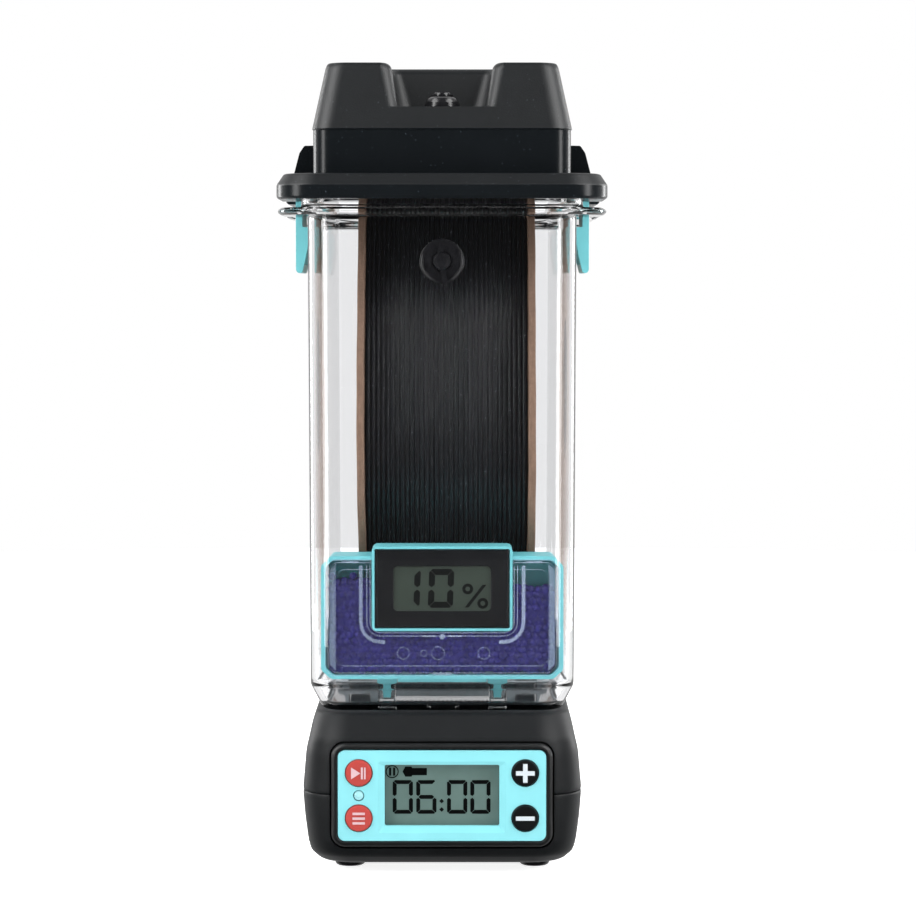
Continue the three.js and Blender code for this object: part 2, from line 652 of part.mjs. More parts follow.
// Rubber plug: a stem, a cap over the grommet and a small pull tab.
function plug(stemBottom, capBottom, capHeight, tabLength) {
  const stem = post(2.9, capBottom + capHeight - stemBottom, 0, 0, stemBottom, 16);
  const cap = post(3.2, capHeight - 0.6, 0, 0, capBottom, 16);
  const tab = block([-1.1, -tabLength, capBottom], [1.1, 0, capBottom + 0.9]);
  const ear = block([-1.1, 0, capBottom], [1.1, 4.4, capBottom + 0.9]);
  return stem.add(cap).add(tab).add(ear);
}

function buildBox() {
  const box = new THREE.Group();
  box.position.z = BOX_Z;
  box.add(piece('box_shell', boxShell(), CLEAR_PLASTIC));
  box.add(piece('roller_cradle', rollerCradle(), BLACK_PLASTIC));
  const axleHalf = CRADLE_HALF_WIDTH + 0.5;
  Object.entries(ENDS).forEach(([end, endSign]) => {
    const axle = barAlongX(AXLE_RADIUS, -axleHalf, axleHalf, endSign * ROLLER_Y, AXLE_HEIGHT);
    box.add(piece(`roller_axle_${end}`, axle, STEEL));
    Object.entries(SIDES).forEach(([side, sideSign]) => {
      const rollerX = sideSign * (SPOOL_HALF_WIDTH - FLANGE_CARD / 2);
      const bearing = piece(`roller_${end}_${side}`, roller(), STEEL);
      box.add(placed(bearing, rollerX, endSign * ROLLER_Y, AXLE_HEIGHT));
    });
  });
  const ports = { supply: PORT_Y, return: -PORT_Y };
  Object.entries(ports).forEach(([port, y]) => {
    box.add(placed(piece(`valve_seat_${port}`, valveSeat(), BLACK_RUBBER), 0, y, 0));
    box.add(placed(piece(`valve_disc_${port}`, valveDisc(), BLACK_PLASTIC), 0, y, 0));
  });
  const wallFace = BOX_DEPTH / 2 - 0.05;
  const frontPort = new THREE.Group();
  frontPort.position.set(0, -wallFace, FRONT_PORT_HEIGHT);
  frontPort.rotation.x = Math.PI / 2;
  frontPort.add(piece('port_grommet_front', grommet(8, 1.5, BOX_WALL + 0.2), BLACK_RUBBER));
  frontPort.add(piece('port_plug_front', plug(-3, GAP + 1.8, 1.6, 11), BLACK_RUBBER));
  box.add(frontPort);
  return box;
}

// ---- Lid ---------------------------------------------------------------------------------------

// The notch in the lid's front edge, grown by `grow` to leave its wall standing.
function lidNotch(grow) {
  const level = (width, back, z) => {
    const front = -150;
    return ring(width + 2 * grow, back - front + grow, 8 + grow, z, (back + front + grow) / 2);
  };
  return loft([
    level(37, -78, NOTCH_FLOOR - grow),
    level(45.5, -72, LID_HEIGHT + 2 + grow / 2),
  ]);
}

// Towers on the flange that hold the latch pins, open towards the outside.
function latchTowers() {
  const half = LATCH_HALF_LENGTH + 4;
  const profile = [[44, 8.5], [53.5, 8.5], [53.5, 9.5], [50, 19], [44, 19]];
  let towers = null;
  [-1, 1].forEach((side) => {
    const points = profile.map(([x, z]) => [side * x, z]);
    const shape = outline(side > 0 ? points : points.reverse());
    [-LATCH_Y, LATCH_Y].forEach((y) => {
      const tower = extrudeAlongY(shape, y - half, y + half);
      towers = towers ? towers.add(tower) : tower;
    });
  });
  return towers;
}

function lidShell() {
  const flangeTop = 9;
  let lid = loft([
    ring(LID_FLANGE_WIDTH, FLANGE_DEPTH, 15, 0),
    ring(LID_FLANGE_WIDTH, FLANGE_DEPTH, 15, 5),
    ring(LID_FLANGE_WIDTH - 5, FLANGE_DEPTH - 5, 12.5, flangeTop),
  ]);
  lid = lid.add(loft([
    ring(LID_BODY_WIDTH, LID_BODY_DEPTH, 8, flangeTop - 1),
    ring(LID_BODY_WIDTH, LID_BODY_DEPTH, 8, LID_CREASE),
    ring(LID_TOP_WIDTH, LID_TOP_DEPTH, 7, LID_HEIGHT),
  ]));
  lid = lid.add(latchTowers());
  const wall = 2 * LID_WALL;
  const cavity = loft([
    ring(LID_BODY_WIDTH - wall, LID_BODY_DEPTH - wall, 6, -1),
    ring(LID_BODY_WIDTH - wall, LID_BODY_DEPTH - wall, 6, LID_CREASE),
    ring(LID_TOP_WIDTH - wall, LID_TOP_DEPTH - wall, 5, LID_HEIGHT - LID_WALL),
  ]);
  lid = lid.subtract(cavity.subtract(lidNotch(LID_WALL))).subtract(lidNotch(0));
  lid = lid.subtract(loft([
    ring(COLLAR_WIDTH + 1.4, COLLAR_DEPTH + 1.4, BOX_CORNER + 2.9, -1),
    ring(COLLAR_WIDTH + 1.4, COLLAR_DEPTH + 1.4, BOX_CORNER + 2.9, 6),
  ]));
  lid = lid.subtract(post(5, 10, 0, LID_PORT_Y, NOTCH_FLOOR - 5, 24));
  lid = lid.subtract(latchClearance(50.9, -1, 9.5));
  lid = lid.subtract(latchClearance(LID_BODY_WIDTH / 2 + GAP, flangeTop, 17.5));
  [-1, 1].forEach((side) => {
    [-LATCH_Y, LATCH_Y].forEach((y) => {
      const reach = LATCH_HALF_LENGTH + 2.4;
      lid = lid.subtract(barAlongY(
        LATCH_PIN_RADIUS + GAP, y - reach, y + reach, side * LATCH_PIVOT_X, LATCH_PIVOT_HEIGHT, 16,
      ));
    });
  });
  return lid;
}

function lidGasket() {
  const level = (inset, z) => (
    ring(COLLAR_WIDTH - 2 * inset, COLLAR_DEPTH - 2 * inset, BOX_CORNER + 2.2 - inset, z)
  );
  const [bottom, top] = [2.3, 5.7];
  const outer = loft([level(0.1, bottom), level(0.1, top)]);
  const inner = COLLAR_WALL + 2.4; // wide enough to seal the collar where it steps in
  return outer.subtract(loft([level(inner, bottom - 1), level(inner, top + 1)]));
}

// Right-hand latch about its pin: a plate that hangs past the flanges, thick below its ledge, where
// it hooks in towards the box. The pin is moulded on and runs along Y.
function latch() {
  const bossRadius = 2.3;
  const outerFace = 53.6 - LATCH_PIVOT_X;
  const plateInner = 51.2 - LATCH_PIVOT_X;
  const hookInner = 48.8 - LATCH_PIVOT_X;
  const ledge = -22.8;
  const bottom = -39.6;
  const profile = outline([
    [outerFace, -5.1], [bossRadius * 0.65, bossRadius * 0.76], [0, bossRadius],
    [-bossRadius * 0.7, bossRadius * 0.7], [-bossRadius, 0], [-bossRadius * 0.7, -bossRadius * 0.7],
    [plateInner, -4.4], [plateInner, ledge], [hookInner, ledge], [hookInner, -28.6],
    [1.5, bottom + 1.5], [2, bottom], [outerFace - 0.7, bottom], [outerFace, bottom + 1],
  ]);
  const body = extrudeAlongY(profile, -LATCH_HALF_LENGTH, LATCH_HALF_LENGTH);
  const reach = LATCH_HALF_LENGTH + 2;
  return body.add(barAlongY(LATCH_PIN_RADIUS, -reach, reach, 0, 0, 16));
}

function buildLid() {
  const lid = new THREE.Group();
  lid.position.z = LID_Z;
  lid.add(piece('lid_shell', lidShell(), BLACK_PLASTIC));
  lid.add(piece('lid_gasket', lidGasket(), BLACK_RUBBER));
  const lidPort = new THREE.Group();
  lidPort.position.set(0, LID_PORT_Y, NOTCH_FLOOR);
  lidPort.add(piece('port_grommet_lid', grommet(6.5, 3.9, LID_WALL), BLACK_RUBBER));
  lidPort.add(piece('port_plug_lid', plug(-4, GAP + 4.2, 1.6, 4.4), BLACK_RUBBER));
  lid.add(lidPort);
  Object.entries(ENDS).forEach(([end, endSign]) => {
    const y = endSign * LATCH_Y;
    const right = piece(`latch_${end}_right`, latch(), TEAL_PLASTIC);
    lid.add(placed(right, LATCH_PIVOT_X, y, LATCH_PIVOT_HEIGHT));
    const left = piece(`latch_${end}_left`, latch(), TEAL_PLASTIC);
    left.rotation.z = Math.PI;
    lid.add(placed(left, -LATCH_PIVOT_X, y, LATCH_PIVOT_HEIGHT));
  });
  return lid;
}

// ---- Desiccant cartridge -----------------------------------------------------------------------

const TRAY_FRONT = -TRAY_DEPTH / 2;
const TRAY_BACK = TRAY_DEPTH / 2;
const METER_ROOM_WIDTH = METER_WIDTH + 2 * GAP;
const METER_ROOM_HEIGHT = METER_HEIGHT + 2 * GAP;

// A block round the hygrometer, `grow` larger than its room on every side.
function meterBlock(grow, front, back) {
  const half = METER_ROOM_WIDTH / 2 + grow;
  const rise = METER_ROOM_HEIGHT / 2 + grow;
  return block([-half, front, METER_MIDDLE - rise], [half, back, METER_MIDDLE + rise]);
}

// One leg: wide at the tray, then drawn in to a tongue that stands in its socket.
function trayLeg(x) {
  const shape = outline([
    [x - 3.7, 1], [x - 3.7, -2.6], [x - 1.4, -4.4], [x - 1.4, -7.2],
    [x + 1.4, -7.2], [x + 1.4, -4.4], [x + 3.7, -2.6], [x + 3.7, 1],
  ]);
  return extrudeAlongY(shape, -1.2, 3.2);
}

function cartridgeTray() {
  const outer = chamferedRectangle(TRAY_WIDTH, TRAY_HEIGHT, TRAY_CHAMFER, 0);
  const inner = chamferedRectangle(TRAY_WIDTH, TRAY_HEIGHT, TRAY_CHAMFER - 0.6, TRAY_WALL);
  let tray = extrudeAlongY(outer, TRAY_FRONT, TRAY_BACK);
  const frame = meterBlock(METER_FRAME_WALL, TRAY_FRONT - 0.4, TRAY_BACK - 5);
  let room = extrudeAlongY(inner, TRAY_FRONT - 5, TRAY_BACK - TRAY_WALL);
  room = room.subtract(frame);
  tray = tray.subtract(room).add(frame);
  tray = tray.subtract(meterBlock(0, TRAY_FRONT - 5, TRAY_BACK - 5 - 1.2));
  return tray.add(trayLeg(-LEG_X)).add(trayLeg(LEG_X));
}

// The U-shaped space in front of the tray's back, drawn in from the walls, below height `top`.
function meterSurround(inset, front, back, top) {
  const shape = chamferedRectangle(TRAY_WIDTH, TRAY_HEIGHT, TRAY_CHAMFER - 0.8, TRAY_WALL + inset);
  const space = extrudeAlongY(shape, front, back);
  const meter = meterBlock(METER_FRAME_WALL + inset, front - 1, back + 1);
  const above = block([-60, front - 1, top], [60, back + 1, 100]);
  return space.subtract(meter).subtract(above);
}

function hygrometerBody() {
  const back = 2;
  let body = block(
    [-METER_WIDTH / 2, TRAY_FRONT - 0.6, METER_MIDDLE - METER_HEIGHT / 2],
    [METER_WIDTH / 2, back, METER_MIDDLE + METER_HEIGHT / 2],
  );
  body = body.subtract(block(
    [-18, TRAY_FRONT - 5, METER_MIDDLE - 8.65], [18, TRAY_FRONT + 2, METER_MIDDLE + 8.65],
  ));
  return body.subtract(barAlongY(6.2, back - 6, back + 1, 12, METER_MIDDLE, 24));
}

function buildCartridge() {
  const cartridge = new THREE.Group();
  cartridge.position.set(0, CARTRIDGE_Y, BOX_Z + CARTRIDGE_HEIGHT);
  cartridge.add(piece('cartridge_tray', cartridgeTray(), TEAL_PLASTIC));
  const coverBack = TRAY_FRONT + 2.2;
  const cover = meterSurround(GAP, TRAY_FRONT - 0.2, coverBack, TRAY_HEIGHT);
  cartridge.add(piece('cartridge_cover', cover, CLEAR_PLASTIC));
  const fillHeight = 35.5;
  const beads = meterSurround(GAP, coverBack + GAP, TRAY_BACK - TRAY_WALL - GAP, fillHeight);
  cartridge.add(piece('silica_gel', beads, VIOLET_BEADS));
  cartridge.add(piece('hygrometer_body', hygrometerBody(), BLACK_PLASTIC));
  const glass = block(
    [-17.6, TRAY_FRONT + 0.2, METER_MIDDLE - 8.2], [17.6, TRAY_FRONT + 1.7, METER_MIDDLE + 8.2],
  );
  cartridge.add(piece('hygrometer_lcd', glass, METER_GLASS));
  const cell = barAlongY(5.8, -3.6, 1.8, 12, METER_MIDDLE, 24);
  cartridge.add(piece('button_cell', cell, STEEL));
  return cartridge;
}

// ---- Spool -------------------------------------------------------------------------------------

// A ring about the X axis.
function ringAlongX(outerRadius, innerRadius, x0, x1, segments) {
  const outer = barAlongX(outerRadius, x0, x1, 0, 0, segments);
  return outer.subtract(barAlongX(innerRadius, x0 - 1, x1 + 1, 0, 0, segments));
}

function buildSpool() {
  const spool = new THREE.Group();
  spool.position.set(SPOOL_X, 0, BOX_Z + SPOOL_AXIS_HEIGHT);
  const [boreRadius, coreRadius, windingRadius] = [27.5, 50, 94];
  const segments = 48;
  const inner = SPOOL_HALF_WIDTH - FLANGE_CARD;
  const left = ringAlongX(SPOOL_RADIUS, boreRadius, -SPOOL_HALF_WIDTH, -inner, segments);
  spool.add(piece('spool_flange_left', left, CARDBOARD));
  const right = ringAlongX(SPOOL_RADIUS, boreRadius, inner, SPOOL_HALF_WIDTH, segments);
  spool.add(piece('spool_flange_right', right, CARDBOARD));
  const width = inner - GAP;
  const core = ringAlongX(coreRadius, coreRadius - 4, -width, width, segments);
  spool.add(piece('spool_core', core, CARDBOARD));
  const winding = ringAlongX(windingRadius, coreRadius + GAP, -width, width, segments);
  spool.add(piece('filament_winding', winding, BLACK_FILAMENT));
  return spool;
}

// ---- Assembly ----------------------------------------------------------------------------------

const dryerBox = new THREE.Group();
dryerBox.add(buildDock());
dryerBox.add(buildBox());
dryerBox.add(buildLid());
dryerBox.add(buildCartridge());
dryerBox.add(buildSpool());

export default dryerBox;
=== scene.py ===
"""Looks for the filament dryer box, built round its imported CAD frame.

Shapes are written in millimetres in the object's own frame: +Z up, front towards -Y, the table at 0.
Each piece is made in mesh code, rides on its CAD body and stands for the CAD node it refines.
"""

import math
import random
from itertools import product

import bmesh
import bpy
from mathutils import Matrix, Vector


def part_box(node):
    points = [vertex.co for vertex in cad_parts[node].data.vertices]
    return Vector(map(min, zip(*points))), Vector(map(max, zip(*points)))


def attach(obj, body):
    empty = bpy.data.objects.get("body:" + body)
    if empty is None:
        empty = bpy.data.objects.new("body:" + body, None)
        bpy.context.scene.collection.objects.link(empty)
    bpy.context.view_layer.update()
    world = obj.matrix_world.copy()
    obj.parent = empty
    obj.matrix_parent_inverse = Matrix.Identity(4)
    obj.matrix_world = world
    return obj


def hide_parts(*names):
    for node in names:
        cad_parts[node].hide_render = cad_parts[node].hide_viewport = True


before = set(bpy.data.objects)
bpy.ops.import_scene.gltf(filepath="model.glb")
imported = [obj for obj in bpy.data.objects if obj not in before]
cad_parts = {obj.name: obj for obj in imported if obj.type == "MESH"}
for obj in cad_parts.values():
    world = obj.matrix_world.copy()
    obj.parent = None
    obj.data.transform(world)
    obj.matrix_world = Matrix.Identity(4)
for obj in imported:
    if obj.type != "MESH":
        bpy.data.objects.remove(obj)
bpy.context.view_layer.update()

MM = 0.001
CORNER_STEPS = 10  # straight steps in each rounded corner
ENDS = {"front": -1, "rear": 1}
SIDES = {"left": -1, "right": 1}


# ---- Places read from the CAD frame ------------------------------------------------------------


def low(node):
    """Lowest corner of a CAD node, in millimetres."""
    return Vector(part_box(node)[0]) / MM


def high(node):
    """Highest corner of a CAD node, in millimetres."""
    return Vector(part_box(node)[1]) / MM


def middle(node):
    return (low(node) + high(node)) / 2


def extent(node):
    return high(node) - low(node)


# ---- Mesh building -----------------------------------------------------------------------------


def linked(name, mesh):
    """An object in the scene that shows a mesh."""
    piece = bpy.data.objects.new(name, mesh)
    bpy.context.scene.collection.objects.link(piece)
    return piece


def mesh_object(name, points, faces):
    """A mesh object from points in millimetres."""
    mesh = bpy.data.meshes.new(name)
    mesh.from_pydata([Vector(point) * MM for point in points], [], faces)
    return linked(name, mesh)


def from_bmesh(name, bm):
    """An object from a bmesh, which is freed."""
    mesh = bpy.data.meshes.new(name)
    bm.to_mesh(mesh)
    bm.free()
    return linked(name, mesh)


def ring(width, depth, radius, z, centre=(0, 0), steps=CORNER_STEPS):
    """A level rounded rectangle, counter-clockwise from above."""
    points = []
    for quarter, (side_x, side_y) in enumerate(((1, 1), (-1, 1), (-1, -1), (1, -1))):
        for step in range(steps + 1):
            angle = (quarter + step / steps) * math.pi / 2
            x = centre[0] + side_x * (width / 2 - radius) + radius * math.cos(angle)
            y = centre[1] + side_y * (depth / 2 - radius) + radius * math.sin(angle)
            points.append((x, y, z))
    return points


def loft(name, rings, looped=False):
    """A skin through rings. It is capped at both ends, or looped from the last ring to the first."""
    count = len(rings[0])
    points = [point for one in rings for point in one]
    faces = []
    for low_row in range(len(rings) if looped else len(rings) - 1):
        high_row = (low_row + 1) % len(rings)
        for place in range(count):
            after = (place + 1) % count
            faces.append((
                low_row * count + place, low_row * count + after,
                high_row * count + after, high_row * count + place,
            ))
    if not looped:
        last = (len(rings) - 1) * count
        faces.append(tuple(reversed(range(count))))
        faces.append(tuple(last + place for place in range(count)))
    return mesh_object(name, points, faces)


def toward(start, end, share):
    """The point a share of the way from start to end, for tuples of any length."""
    return tuple(a + (b - a) * share for a, b in zip(start, end))


def rounded_path(points, radius, steps=3, closed=False):
    """Rounds the corners of a path of equal-length tuples, whatever their number of values."""
    last = len(points) - 1
    path = []
    for index, corner in enumerate(points):
        if not closed and index in (0, last):
            path.append(corner)
            continue
        before = points[index - 1]
        after = points[index + 1 if index < last else 0]
        start = toward(corner, before, min(radius / math.dist(corner, before), 0.45))
        end = toward(corner, after, min(radius / math.dist(corner, after), 0.45))
        for step in range(steps + 1):
            t = step / steps
            path.append(toward(toward(start, corner, t), toward(corner, end, t), t))
    return path


def turned(name, profile, segments=64, closed=False):
    """A profile of (radius, height) pairs turned about Z. An open profile ends on the axis."""
    points = []
    rows = []
    for radius, height in profile:
        if radius < 1e-6:
            rows.append([len(points)])
            points.append((0, 0, height))
            continue
        rows.append(list(range(len(points), len(points) + segments)))
        for step in range(segments):
            angle = 2 * math.pi * step / segments
            points.append((radius * math.cos(angle), radius * math.sin(angle), height))
    pairs = list(zip(rows, rows[1:]))
    if closed:
        pairs.append((rows[-1], rows[0]))
    faces = []
    for below, above in pairs:
        for step in range(segments):
            after = (step + 1) % segments
            corners = [below[step % len(below)], below[after % len(below)]]
            corners += [above[after % len(above)], above[step % len(above)]]
            face = list(dict.fromkeys(corners))
            if len(face) > 2:
                faces.append(tuple(face))
    return mesh_object(name, points, faces)


def prism(name, outline, thickness):
    """A flat outline of (x, y) points, counter-clockwise, given a thickness upwards from z = 0."""
    return loft(name, [
        [(x, y, 0) for x, y in outline],
        [(x, y, thickness) for x, y in outline],
    ])


def circle(radius, segments=48, centre=(0, 0)):
    steps = [2 * math.pi * step / segments for step in range(segments)]
    return [(centre[0] + radius * math.cos(a), centre[1] + radius * math.sin(a)) for a in steps]


def move(piece, x=0, y=0, z=0, matrix=None):
    """Moves a piece's mesh, after turning it by matrix."""
    turn = matrix or Matrix.Identity(4)
    piece.data.transform(Matrix.Translation(Vector((x, y, z)) * MM) @ turn)
    return piece


FACING_FRONT = Matrix.Rotation(math.pi / 2, 4, "X")  # +Z of a drawing becomes -Y, +Y becomes +Z
ALONG_X = Matrix.Rotation(math.pi / 2, 4, "Y")  # +Z of a drawing becomes +X
HALF_TURN = Matrix.Rotation(math.pi, 4, "Z")


def bake_modifiers(piece):
    graph = bpy.context.evaluated_depsgraph_get()
    mesh = bpy.data.meshes.new_from_object(piece.evaluated_get(graph))
    piece.modifiers.clear()
    old = piece.data
    piece.data = mesh
    bpy.data.meshes.remove(old)


def combine(piece, *tools, operation="DIFFERENCE"):
    """Cuts the tools from a piece, or joins them to it, and removes them."""
    for tool in tools:
        modifier = piece.modifiers.new("combine", "BOOLEAN")
        modifier.object = tool
        modifier.operation = operation
        modifier.solver = "EXACT"
        bpy.context.view_layer.update()
        bake_modifiers(piece)
        bpy.data.objects.remove(tool)
    return piece


def merge(name, pieces):
    """One object from several separate ones."""
    joined = bmesh.new()
    for piece in pieces:
        joined.from_mesh(piece.data)
        bpy.data.objects.remove(piece)
    return from_bmesh(name, joined)


def block(low_corner, high_corner, name="block"):
    (x0, y0, z0), (x1, y1, z1) = low_corner, high_corner
    outline = [(x0, y0), (x1, y0), (x1, y1), (x0, y1)]
    return move(prism(name, outline, z1 - z0), z=z0)


def shade(piece, sharp_angle=32):
    for polygon in piece.data.polygons:
        polygon.use_smooth = True
    piece.data.set_sharp_from_angle(angle=math.radians(sharp_angle))


def round_edges(piece, width, segments=3, angle=34):
    """Rounds every edge sharper than angle, and keeps the flat faces flat."""
    bevel = piece.modifiers.new("edges", "BEVEL")
    bevel.width = width * MM
    bevel.segments = segments
    bevel.limit_method = "ANGLE"
    bevel.angle_limit = math.radians(angle)
    bevel.miter_outer = "MITER_ARC"
    bevel.use_clamp_overlap = True
    bpy.context.view_layer.update()
    bake_modifiers(piece)
    shade(piece, 40)
    piece.modifiers.new("normals", "WEIGHTED_NORMAL").keep_sharp = True
    return piece


def add(piece, body, material, slot, *nodes):
    """Gives a piece its body, its material and the CAD nodes it stands for."""
    piece.data.materials.clear()
    piece.data.materials.append(MATERIALS[material])
    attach(piece, body)
    if nodes:
        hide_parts(*nodes)
    return piece


# ---- Materials ---------------------------------------------------------------------------------


def wired(tree, kind, inputs=None, **settings):
    """A new shader node. Each of its inputs is given a value or another node's output."""
    node = tree.nodes.new("ShaderNode" + kind)
    for setting, value in settings.items():
        setattr(node, setting, value)
    for name, value in (inputs or {}).items():
        if isinstance(value, bpy.types.NodeSocket):
            tree.links.new(value, node.inputs[name])
        else:
            node.inputs[name].default_value = value
    return node


class Surface:
    """A node material round one Principled shader, with its patterns in millimetres."""

    def __init__(self, name, colour, roughness, metallic=0.0, specular=0.5):
        self.material = bpy.data.materials.new(name)
        self.material.use_nodes = True
        self.tree = self.material.node_tree
        self.shader = self.tree.nodes["Principled BSDF"]
        self.output = self.tree.nodes["Material Output"]
        self.shader.inputs["Base Color"].default_value = (*colour, 1)
        self.shader.inputs["Roughness"].default_value = roughness
        self.shader.inputs["Metallic"].default_value = metallic
        self.shader.inputs["Specular IOR Level"].default_value = specular
        self.place = self.tree.nodes.new("ShaderNodeTexCoord").outputs["Object"]
        self.height = None

    def link(self, source, target):
        self.tree.links.new(source, target)

    def stretched(self, x, y, z):
        """Object coordinates, in units of x, y and z millimetres."""
        scale = (1 / (x * MM), 1 / (y * MM), 1 / (z * MM))
        return wired(self.tree, "Mapping", {"Scale": scale, "Vector": self.place}).outputs["Vector"]

    def noise(self, size, detail=3.0, rough=0.55, seed=0.0):
        """Noise whose features are about size millimetres across, or (x, y, z) of them."""
        sizes = size if isinstance(size, tuple) else (size, size, size)
        noise = self.tree.nodes.new("ShaderNodeTexNoise")
        noise.noise_dimensions = "4D"
        noise.inputs["W"].default_value = seed
        noise.inputs["Scale"].default_value = 1.0
        noise.inputs["Detail"].default_value = detail
        noise.inputs["Roughness"].default_value = rough
        self.link(self.stretched(*sizes), noise.inputs["Vector"])
        return noise.outputs["Fac"]

    def cells(self, size, feature="F1"):
        cells = self.tree.nodes.new("ShaderNodeTexVoronoi")
        cells.feature = feature
        cells.inputs["Scale"].default_value = 1.0
        self.link(self.stretched(size, size, size), cells.inputs["Vector"])
        return cells

    def between(self, value, low_out, high_out, low_in=0.3, high_in=0.7):
        """Maps a pattern's value to a range of numbers."""
        return wired(self.tree, "MapRange", {
            "From Min": low_in, "From Max": high_in, "To Min": low_out, "To Max": high_out, "Value": value,
        }).outputs["Result"]

    def times(self, first, second):
        return wired(self.tree, "Math", {0: first, 1: second}, operation="MULTIPLY").outputs["Value"]

    def tint(self, value, first, second, low_in=0.3, high_in=0.7):
        """Colours from first to second as a pattern's value rises."""
        ramp = self.tree.nodes.new("ShaderNodeValToRGB")
        ramp.color_ramp.elements[0].position = low_in
        ramp.color_ramp.elements[0].color = (*first, 1)
        ramp.color_ramp.elements[1].position = high_in
        ramp.color_ramp.elements[1].color = (*second, 1)
        self.link(value, ramp.inputs["Fac"])
        return ramp.outputs["Color"]

    def blend_colours(self, mode, factor, first, second):
        inputs = {"Factor": factor, "A": first, "B": second}
        return wired(self.tree, "Mix", inputs, data_type="RGBA", blend_type=mode).outputs["Result"]

    def colour_from(self, output):
        self.link(output, self.shader.inputs["Base Color"])

    def roughness_from(self, output):
        self.link(output, self.shader.inputs["Roughness"])

    def bump(self, value, depth, strength=1.0):
        """Raises the surface by up to depth millimetres where value is 1."""
        bump = wired(self.tree, "Bump", {"Strength": strength, "Distance": depth * MM, "Height": value})
        if self.height is not None:
            self.link(self.height, bump.inputs["Normal"])
        self.height = bump.outputs["Normal"]
        self.link(self.height, self.shader.inputs["Normal"])


def shades(colour, low_factor, high_factor):
    return tuple(c * low_factor for c in colour), tuple(c * high_factor for c in colour)


def moulded_plastic(name, colour, roughness, grain=0.5, depth=0.02, variation=0.12, specular=0.5):
    """Moulded plastic: spark-eroded grain, slow colour drift and handling marks in the gloss."""
    surface = Surface(name, colour, roughness, specular=specular)
    drift = surface.noise(14, detail=2)
    surface.colour_from(surface.tint(drift, *shades(colour, 1 - variation, 1 + variation)))
    marks = surface.noise((5, 9, 30), detail=4, seed=3)
    surface.roughness_from(surface.between(marks, roughness - 0.02, roughness + 0.03))
    surface.bump(surface.noise(grain, detail=3, rough=0.6, seed=7), depth)
    return surface.material


def lid_plastic(name, colour):
    """Coarse grain on the faces that lean back and a plainer skin on the upright ones, with painted shade:
    the colour is a little lighter on the faces that lean back and darker on the upright ones.
    """
    surface = Surface(name, colour, 0.4)
    split = wired(surface.tree, "SeparateXYZ", {"Vector": surface.place.node.outputs["Normal"]})
    above = surface.between(split.outputs["Z"], 0.0, 1.0, 0.1, 0.2)
    drift = surface.tint(surface.noise(14, detail=2), *shades(colour, 0.92, 1.08))
    # painted light and shade: colour lighter on faces that lean back, darker and a little bluish on upright
    # faces
    painted_slope_shade = surface.tint(above, (0.9, 1.0, 1.05), (1.1, 1.1, 1.1), 0, 1)
    specks = surface.tint(surface.noise(0.7, detail=0, seed=9), (1, 1, 1), (7, 7, 7), 0.79, 0.82)
    dusty = surface.blend_colours("MULTIPLY", 1.0, drift, specks)
    surface.colour_from(surface.blend_colours("MULTIPLY", 1.0, dusty, painted_slope_shade))
    surface.roughness_from(surface.between(above, 0.24, 0.43, 0, 1))
    flatter = surface.between(split.outputs["Z"], 1.0, 0.5, 0.3, 0.55)
    gloss = surface.times(surface.between(above, 0.28, 0.5, 0, 1), flatter)
    surface.link(gloss, surface.shader.inputs["Specular IOR Level"])
    grain = surface.noise(0.55, detail=3, rough=0.6, seed=7)
    surface.bump(surface.times(grain, surface.between(above, 0.35, 1.0, 0, 1)), 0.06)
    return surface.material


def clear_plastic(name, tint, roughness=0.0, ior=1.5):
    """Clear moulded plastic. Rays from lamps pass straight through it, so what it holds is lit."""
    surface = Surface(name, tint, roughness)
    shader = surface.shader
    shader.inputs["Transmission Weight"].default_value = 1.0
    shader.inputs["IOR"].default_value = ior
    surface.roughness_from(surface.between(surface.noise(40), roughness, roughness + 0.004))
    tree = surface.tree
    straight = wired(tree, "BsdfTransparent", {"Color": (*tint, 1)})
    rays = wired(tree, "LightPath").outputs
    either = wired(tree, "Math", {0: rays["Is Shadow Ray"], 1: rays["Is Diffuse Ray"]}, operation="MAXIMUM")
    mix = wired(tree, "MixShader", {
        "Fac": either.outputs["Value"], 1: shader.outputs["BSDF"], 2: straight.outputs["BSDF"],
    })
    surface.link(mix.outputs["Shader"], surface.output.inputs["Surface"])
    return surface.material


def rib_glint_plastic(name):
    """The ribs of a clear cover, painted pale and part see-through: a painted highlight for the light that
    clear ribs catch.
    """
    colour = (0.52, 0.62, 0.8)
    surface = Surface(name, colour, 0.25)
    surface.colour_from(surface.tint(surface.noise(2, detail=4), *shades(colour, 0.85, 1.15)))
    surface.shader.inputs["Alpha"].default_value = 0.21
    surface.bump(surface.noise(0.8, seed=3), 0.004)
    return surface.material


def rubber(name):
    colour = (0.006, 0.006, 0.007)
    surface = Surface(name, colour, 0.27, specular=0.5)
    bloom = surface.noise(2.5, detail=5)
    surface.colour_from(surface.tint(bloom, *shades(colour, 0.8, 1.9)))
    surface.roughness_from(surface.between(surface.noise(1.2, seed=2), 0.17, 0.26))
    surface.bump(surface.noise(0.7, detail=2, seed=4), 0.004)
    return surface.material


def cardboard(name):
    """Grey-brown board: fibres on its faces, and plies that show as fine lines round the rim."""
    colour = (0.215, 0.138, 0.098)
    surface = Surface(name, colour, 0.9, specular=0.2)
    fibres = surface.tint(surface.noise((1.5, 0.35, 2.2), detail=5), *shades(colour, 0.72, 1.25))
    plies = surface.tint(surface.noise((0.32, 9, 9), detail=2, seed=3), *shades(colour, 0.62, 1.2))
    surface.colour_from(surface.blend_colours("MIX", 0.5, fibres, plies))
    surface.bump(surface.noise((0.3, 4, 4), detail=3, seed=3), 0.12)
    surface.bump(surface.noise(0.4, detail=4, seed=6), 0.05)
    return surface.material


